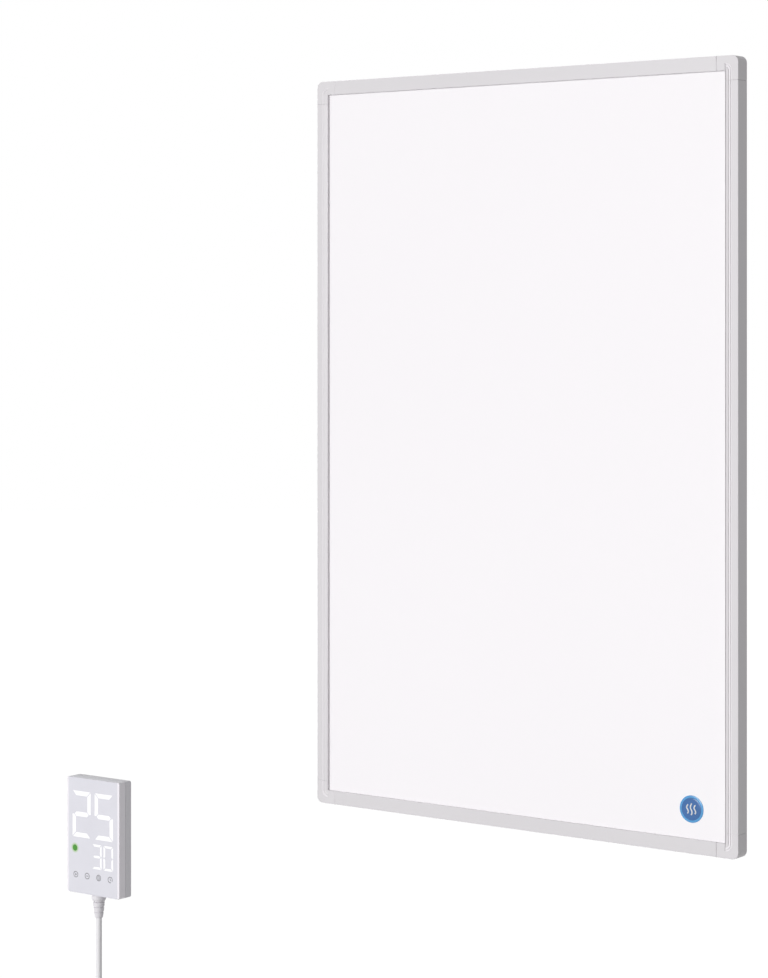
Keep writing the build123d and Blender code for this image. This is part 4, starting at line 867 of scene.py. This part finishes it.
@dataclass
class HeatingFace:
    """The radiating plate, what lies right behind it, and the round sticker on it."""

    plate_y: float = -0.0408
    sticker: Spot = (0.2384, -0.3999)
    sticker_radius: float = 0.0155
    sticker_height: float = 0.0011
    rim_height: float = 0.7
    field_radius: float = 0.84
    spokes: int = 96
    edge_profile: tuple[Spot, ...] = (
        (1.0, 0.0), (1.0, 0.35), (0.992, 0.62), (0.975, 0.84), (0.945, 0.96), (0.9, 1.0),
        (0.6, 1.0), (0.25, 1.0),
    )
    wave_half: float = 0.0066
    outer_wave_share: float = 0.78
    wave_gap: float = 0.0048
    wave_sway: float = 0.00105
    wave_half_turns: float = 2.2
    wave_steps: int = 24
    wave_width: float = 0.0017
    wave_height: float = 0.00012

    def build(self) -> None:
        """Dress the layers and make the sticker."""
        dress(PLATE_COAT, "heating_plate")
        dress(CARBON, "carbon_heating_film")
        dress(COPPER, "busbar_left", "busbar_right")
        dress(FIBRE_MAT, "insulation_pad")
        radius, height = self.sticker_radius, self.sticker_height
        self._disc("sticker_rim", STICKER_RIM, radius, height * self.rim_height)
        self._disc("sticker_field", STICKER_BLUE, radius * self.field_radius, height)
        self._waves()

    def _disc(self, name: str, finish: Finish, radius: float, height: float) -> None:
        """Make a low disc with a rounded edge.

        Args:
            name: Name of the piece.
            finish: Its finish.
            radius: Outer radius.
            height: Thickness.
        """
        mesh = bmesh.new()
        turns = [2 * pi * k / self.spokes for k in range(self.spokes)]
        x, z = self.sticker
        rows = []
        for share, rise in self.edge_profile:
            reach, y = radius * share, self.plate_y - height * rise
            rows.append([(x + reach * cos(a), y, z + reach * sin(a)) for a in turns])
        add_grid(mesh, rows, capped=True)
        add_solid(name, mesh, finish)

    def _waves(self) -> None:
        """Draw three rising warm-air waves on the sticker, a plain sign for heat."""
        mesh = bmesh.new()
        pen = PrintedLine(self.wave_width, self.plate_y - self.sticker_height, self.wave_height)
        shares = [step / self.wave_steps for step in range(self.wave_steps + 1)]
        for column in (-1, 0, 1):
            half = self.wave_half * (self.outer_wave_share if column else 1.0)
            line = []
            for share in shares:
                sway = self.wave_sway * sin(share * self.wave_half_turns * pi)
                x = self.sticker[0] + column * self.wave_gap + sway
                line.append((x, self.sticker[1] - half + 2 * half * share))
            pen.draw(mesh, line)
        add_solid("sticker_heat_waves", mesh, STICKER_WHITE)


@dataclass
class RearFittings:
    """Everything on the back: cover, wall brackets, junction box, gland and wiring."""

    keyhole: Spot = (0.220, 0.320)
    flange_screw: float = 0.0325
    flange_y: float = -0.0239
    box_middle: Spot = (0.0, -0.330)
    box_screw: Spot = (0.051, 0.027)
    lid_y: float = -0.0054

    def build(self) -> None:
        """Dress the fittings and make their screws."""
        dress(COVER_SHEET, "rear_cover")
        dress(BOX_PLASTIC, "junction_box_base", "junction_box_lid")
        dress(BLOCK_PLASTIC, "terminal_block")
        dress(CUTOUT_CASE, "overheat_cutout")
        dress(WIRE_SLEEVE, "heater_wire_left", "heater_wire_right", "cutout_wire")
        dress(GLAND_PLASTIC, *(f"mains_gland_{part}" for part in ("body", "lock_nut", "cap_nut")))
        dress(ZINC_STEEL, "terminal_screws", *(f"hanger_bracket_{corner}" for corner in CORNERS))
        flange_places = [
            (x + flange * self.flange_screw, z)
            for x, z in four_places(self.keyhole) for flange in (-1, 1)
        ]
        CrossHeadScrews(
            "hanger_screw_heads", "hanger_screws", flange_places, self.flange_y,
            head_radius=0.0038, head_height=0.0024,
        ).build()
        CrossHeadScrews(
            "junction_lid_screw_heads", "junction_lid_screws",
            four_places(self.box_screw, self.box_middle), self.lid_y,
            head_radius=0.0027, head_height=0.0016,
        ).build()


class KeySign(Enum):
    """Signs printed over the four touch keys."""

    PLUS = "plus"
    MINUS = "minus"
    MODE = "mode"
    CLOCK = "clock"


@dataclass
class Controller:
    """The controller's shells, lit strokes, lamp, printed keys and inner parts.

    The key signs' inner sizes are shares of the ring's radius or of half of it.
    """

    middle: Spot = (-0.701, -0.544)
    face_y: float = -0.024
    screw_reach: Spot = (0.040, 0.070)
    screw_seat_y: float = -0.0016
    key_row: float = -0.0532
    key_places: tuple[float, ...] = (-0.0314, -0.0104, 0.0106, 0.0316)
    ring_radius: float = 0.0038
    ring_steps: int = 48
    line: float = 0.00075
    ink: float = 0.00005
    clock_arc: tuple[float, float, int] = (-30, 292, 40)
    minute_hand: float = 1.1
    hour_hand: Spot = (0.9, 0.5)
    mode_square: float = 0.48
    mode_flat: float = 0.55
    mode_line: float = 0.7
    mode_bar: float = 0.3
    corner_steps: int = 6

    def build(self) -> None:
        """Dress the nodes, and make the printed signs and the screws behind."""
        dress(SHELL_PLASTIC, "controller_front_shell")
        dress(BACK_PLASTIC, "controller_rear_shell")
        dress(FIGURE_LIGHT, "temperature_light_guide", "timer_light_guide")
        dress(LAMP_LIGHT, "status_light_guide")
        dress(BOARD_LAMINATE, "controller_board")
        dress(SPRING_STEEL, "touch_pads")
        dress(COMPONENT_BLACK, "relay", "power_converter")
        dress(SENSOR_BEAD, "room_sensor")
        dress(RELIEF_PLASTIC, "strain_relief")
        for place, sign in zip(self.key_places, KeySign):
            self._sign(sign, (self.middle[0] + place, self.middle[1] + self.key_row))
        CrossHeadScrews(
            "controller_screw_heads", "controller_shell_screws",
            four_places(self.screw_reach, self.middle), self.screw_seat_y,
            head_radius=0.0026, head_height=0.0013,
        ).build()

    def _sign(self, sign: KeySign, centre: Spot) -> None:
        """Print one key's sign.

        Args:
            sign: Which sign.
            centre: Its centre as (x, z).
        """
        mesh = bmesh.new()
        pen = PrintedLine(self.line, self.face_y, self.ink)
        x, z = centre
        reach, gap = self.ring_radius * 0.5, self.line / 2
        strokes = []
        if sign is KeySign.CLOCK:
            hour = (x + reach * self.hour_hand[0], z - reach * self.hour_hand[1])
            strokes.append(arc_points(centre, self.ring_radius, *self.clock_arc))
            strokes.append([(x, z + reach * self.minute_hand), centre, hour])
        else:
            pen.draw(mesh, arc_points(centre, self.ring_radius, 0, 360, self.ring_steps)[:-1], True)
        if sign is KeySign.MODE:
            square = self._rounded_square(centre, self.ring_radius * self.mode_square)
            replace(pen, width=self.line * self.mode_line).draw(mesh, square, True)
            reach *= self.mode_bar
        if sign is not KeySign.CLOCK:
            strokes.append([(x - reach, z), (x + reach, z)])
        if sign is KeySign.PLUS:
            strokes += [[(x, z - reach), (x, z - gap)], [(x, z + gap), (x, z + reach)]]
        for stroke in strokes:
            pen.draw(mesh, stroke)
        add_solid(f"key_sign_{sign.value}", mesh, MARK_INK, smooth=False)

    def _rounded_square(self, centre: Spot, half: float) -> list[Spot]:
        """Return the outline of a small square with round corners, anticlockwise."""
        corners = arc_points(centre, half * self.mode_flat * sqrt(2), 45, 315, 3)
        return [
            point
            for turn, corner in enumerate(corners)
            for point in arc_points(
                corner, half * (1 - self.mode_flat), 90 * turn, 90 * turn + 90, self.corner_steps
            )
        ]


@dataclass
class LeadTie:
    """Hook-and-loop strap round the coil, with its free end lapped over the front."""

    middle: Spot = (-0.59775, -0.01625)
    half_x: float = 0.01838
    half_y: float = 0.00986
    corner: float = 0.0048
    middle_z: float = -0.808
    width: float = 0.0138
    thickness: float = 0.0011
    faces: Span = (-0.5, 0.46)
    edge_share: float = 0.4
    steps: int = 120
    lap: float = 0.62
    lift_start: float = 0.86
    taper_steps: int = 7
    taper_least: float = 0.02

    def build(self) -> bpy.types.Object:
        """Make the strap in place of its plain CAD ring.

        Returns:
            The strap.
        """
        mesh = bmesh.new()
        outline = self._outline()
        total = self.steps + int(self.steps * self.lap)
        start = self.steps * self.lift_start
        rows: list[list[Point]] = []
        for step in range(total):
            place, normal = outline[step % self.steps]
            rise = (step - start) / (self.steps * (1 - self.lift_start))
            lift = self.thickness * min(1.0, max(0.0, rise))
            rows.append(self._section(place, normal, lift, self._taper(total - 1 - step)))
        add_grid(mesh, rows, capped=True)
        tie = add_solid("lead_tie_strap", mesh, STRAP_WEB)
        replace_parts(tie, "lead_tie")
        return tie

    def _taper(self, steps_left: int) -> float:
        """Return the strap's width as a share, rounded off over the last few steps."""
        left = min(1.0, steps_left / self.taper_steps)
        return sqrt(max(self.taper_least, 1 - (1 - left) ** 2))

    def _outline(self) -> list[tuple[Vector, Vector]]:
        """Walk round the rounded rectangle of the strap's path.

        Returns:
            Points and outward normals in X and Y, clockwise from the back's left end.
        """
        flat = Vector((self.half_x - self.corner, self.half_y - self.corner))
        quarter = pi / 2 * self.corner
        runs = [2 * flat.x, quarter, 2 * flat.y, quarter] * 2
        turns = ((-1, 1), (1, 1), (1, -1), (-1, -1))
        points = []
        for k in range(self.steps):
            left = sum(runs) * k / self.steps
            run = 0
            while left > runs[run]:
                left -= runs[run]
                run += 1
            side, at_corner = divmod(run, 2)
            angle = pi / 2 * (1 - side) - at_corner * left / self.corner
            normal = Vector((cos(angle), sin(angle)))
            across, back = turns[(side + at_corner) % 4]
            start = Vector(self.middle) + Vector((across * flat.x, back * flat.y))
            along = Vector((normal.y, -normal.x)) * (0.0 if at_corner else left)
            points.append((start + normal * self.corner + along, normal))
        return points

    def _section(self, place: Vector, normal: Vector, lift: float, share: float) -> list[Point]:
        """Cross-section of the strap at one step.

        Args:
            place: Point on the path in X and Y.
            normal: Outward direction in X and Y.
            lift: How far the strap has moved out to lap over itself.
            share: Share of the full width.

        Returns:
            The corners of a thin rounded slab.
        """
        half = self.width / 2 * share
        edge = min(half * 0.5, self.thickness * self.edge_share)
        inner, outer = (place + normal * (lift + self.thickness * face) for face in self.faces)
        low, high = self.middle_z - half + edge, self.middle_z + half - edge
        return [
            (inner.x, inner.y, low), (outer.x, outer.y, low),
            (outer.x, outer.y, high), (inner.x, inner.y, high),
        ]


@dataclass
class Lead:
    """The controller's lead: a straight drop, a tied storage coil, a tail and a plug."""

    top: Point = (-0.701, -0.012, -0.6535)
    diameter: float = 0.008
    length: float = 1.935
    coil_z: float = -0.808
    outer_radius: float = 0.058
    pitch: float = 0.0085
    halves_in: int = 6
    halves_out: int = 5
    points_per_half: int = 12
    tail: float = 0.066
    coil_entry: float = 0.4
    drop_shares: tuple[float, ...] = (0.0, 0.2, 0.45, 0.7, 0.9)
    tail_shares: tuple[float, ...] = (0.1, 0.35, 0.65, 1.0)

    def build(self) -> None:
        """Make the lead as one curve with its tie, and dress the plug."""
        dress(PLUG_PLASTIC, "plug_body")
        dress(PIN_METAL, "plug_pins", "plug_earth_clips")
        tie = LeadTie().build()
        data = bpy.data.curves.new("controller_lead", "CURVE")
        data.dimensions = "3D"
        data.bevel_depth = self.diameter / 2
        data.bevel_resolution = 6
        data.resolution_u = 4
        data.use_fill_caps = True
        route = self._route()
        spline = data.splines.new("NURBS")
        spline.points.add(len(route) - 1)
        for point, place in zip(spline.points, route):
            point.co = (*place, 1.0)
        spline.order_u = 3
        spline.use_endpoint_u = True
        lead = add_piece("controller_lead", data, LEAD_SLEEVE)
        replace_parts(lead, "control_lead", "lead_coil", "lead_tail")

    def _route(self) -> list[Point]:
        """Work out the curve's control points.

        Returns:
            Points down the drop, round the coil and down the tail.
        """
        x, y, z = self.top
        drop = z - self.coil_z - self.diameter
        entry = self.diameter * self.coil_entry
        points: list[Point] = [(x, y, z - drop * share) for share in self.drop_shares]
        points.append((x, y, self.coil_z + entry))
        start = Vector((x, y, self.coil_z))
        radius = self.outer_radius
        second_y = y - self.pitch
        for number in range(self.halves_in + 1 + self.halves_out):
            leftwards = number % 2 == 1
            if number > self.halves_in:
                radius += self.pitch / 2
            across = -2 * radius if leftwards else 2 * radius
            end_y = y if number < self.halves_in else second_y
            end = Vector((start.x + across, end_y, self.coil_z))
            points += self._half_turn(start, end, leftwards)
            start = end
            if number < self.halves_in:
                radius -= self.pitch / 2
        tail = self.diameter + self.tail
        points.append((start.x, second_y, self.coil_z - entry))
        points += [(start.x, second_y, self.coil_z - tail * share) for share in self.tail_shares]
        return points

    def _half_turn(self, start: Vector, end: Vector, leftwards: bool) -> list[Point]:
        """Points round a half turn, set out so that the curve runs through its arc.

        Args:
            start: Where the half turn starts.
            end: Where it ends.
            leftwards: Whether it goes over the top, from right to left.

        Returns:
            Evenly spaced control points.
        """
        middle = (start + end) / 2
        arm = start - middle
        rise = Vector((0, 0, arm.length if leftwards else -arm.length))
        step = pi / self.points_per_half
        swell = 2 / (1 + cos(step / 2))
        angles = [step * (k + 0.5) for k in range(self.points_per_half)]
        return [tuple(middle + (arm * cos(a) + rise * sin(a)) * swell) for a in angles]


# ---- camera and studio


@dataclass(frozen=True)
class Lamp:
    """A far soft lamp, with its rotation and its width as seen from the heater in degrees."""

    name: str
    turn: Point
    strength: float
    spread: float

    def build(self) -> None:
        """Hang the lamp."""
        data = bpy.data.lights.new(self.name, "SUN")
        data.energy = self.strength
        data.angle = radians(self.spread)
        add_object(self.name, data).rotation_euler = tuple(radians(a) for a in self.turn)


@dataclass
class Studio:
    """The camera at the photograph's place, the lamps, the world and the floor."""

    camera_place: Point = (1.8054, -2.6961, 0.1602)
    camera_turn: Point = (90.0, 0.0, 37.03)
    lens: float = 99.67
    shift_y: float = -0.1789
    ambient: float = 0.385
    lamps: tuple[Lamp, ...] = (
        Lamp("key_light", turn=(81.0, 0.0, -12.0), strength=1.95, spread=25.0),
        Lamp("rear_light", turn=(90.0, 0.0, 205.0), strength=1.1, spread=30.0),
    )
    floor_z: float = -1.08
    floor_radius: float = 14.0
    floor_colour: Colour = (0.86, 0.86, 0.86)
    floor_roughness: float = 0.9
    floor_glow: float = 0.60

    def build_camera(self) -> None:
        """Stand the camera where the photograph was taken from."""
        data = bpy.data.cameras.new("photo_camera")
        data.lens = self.lens
        data.shift_y = self.shift_y
        data.clip_end = 50.0
        camera = add_object("photo_camera", data)
        camera.location = self.camera_place
        camera.rotation_euler = tuple(radians(a) for a in self.camera_turn)
        bpy.context.scene.camera = camera

    def build(self) -> None:
        """Light the heater and lay the floor."""
        bpy.context.scene.view_settings.view_transform = "Standard"
        self._world()
        for lamp in self.lamps:
            lamp.build()
        self._floor()

    def _world(self) -> None:
        """Show white behind the heater and light it more gently."""
        world = bpy.data.worlds.new("studio_world")
        world.use_nodes = True
        bpy.context.scene.world = world
        world.node_tree.nodes.clear()
        graph = Graph(world.node_tree)
        extra = graph.times(graph.seen("Camera", "Glossy", "Transmission"), 1.0 - self.ambient)
        strength = graph.math("ADD", extra, self.ambient)
        background = graph.add("ShaderNodeBackground", {"Color": WHITE, "Strength": strength})
        graph.add("ShaderNodeOutputWorld", {"Surface": background.outputs[0]})

    def _floor(self) -> None:
        """Lay a pale floor below the plug that keeps the heater's shadow."""
        mesh = bmesh.new()
        bmesh.ops.create_circle(mesh, cap_ends=True, radius=self.floor_radius, segments=96)
        bmesh.ops.translate(mesh, verts=mesh.verts, vec=(0.0, 0.0, self.floor_z))
        data = bpy.data.meshes.new("studio_floor")
        mesh.to_mesh(data)
        mesh.free()
        material = bpy.data.materials.new("studio_floor")
        material.use_nodes = True
        graph = Graph(material.node_tree)
        graph.feed(material.node_tree.nodes["Principled BSDF"], {
            "Base Color": tinted(self.floor_colour),
            "Roughness": self.floor_roughness,
            "Specular IOR Level": 0.0,
            "Emission Color": WHITE,
            "Emission Strength": graph.times(graph.seen("Camera", "Glossy"), self.floor_glow),
        })
        data.materials.append(material)
        add_object("studio_floor", data)


def main() -> None:
    """Build the sub-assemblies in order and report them."""
    logging.basicConfig(level=logging.INFO, format="%(name)s: %(message)s")
    studio = Studio()
    studio.build_camera()
    for assembly in (Lead(), PanelFrame(), HeatingFace(), RearFittings(), Controller(), studio):
        assembly.build()
        LOG.info("built %s", type(assembly).__name__)


if __name__ == "__main__":
    main()
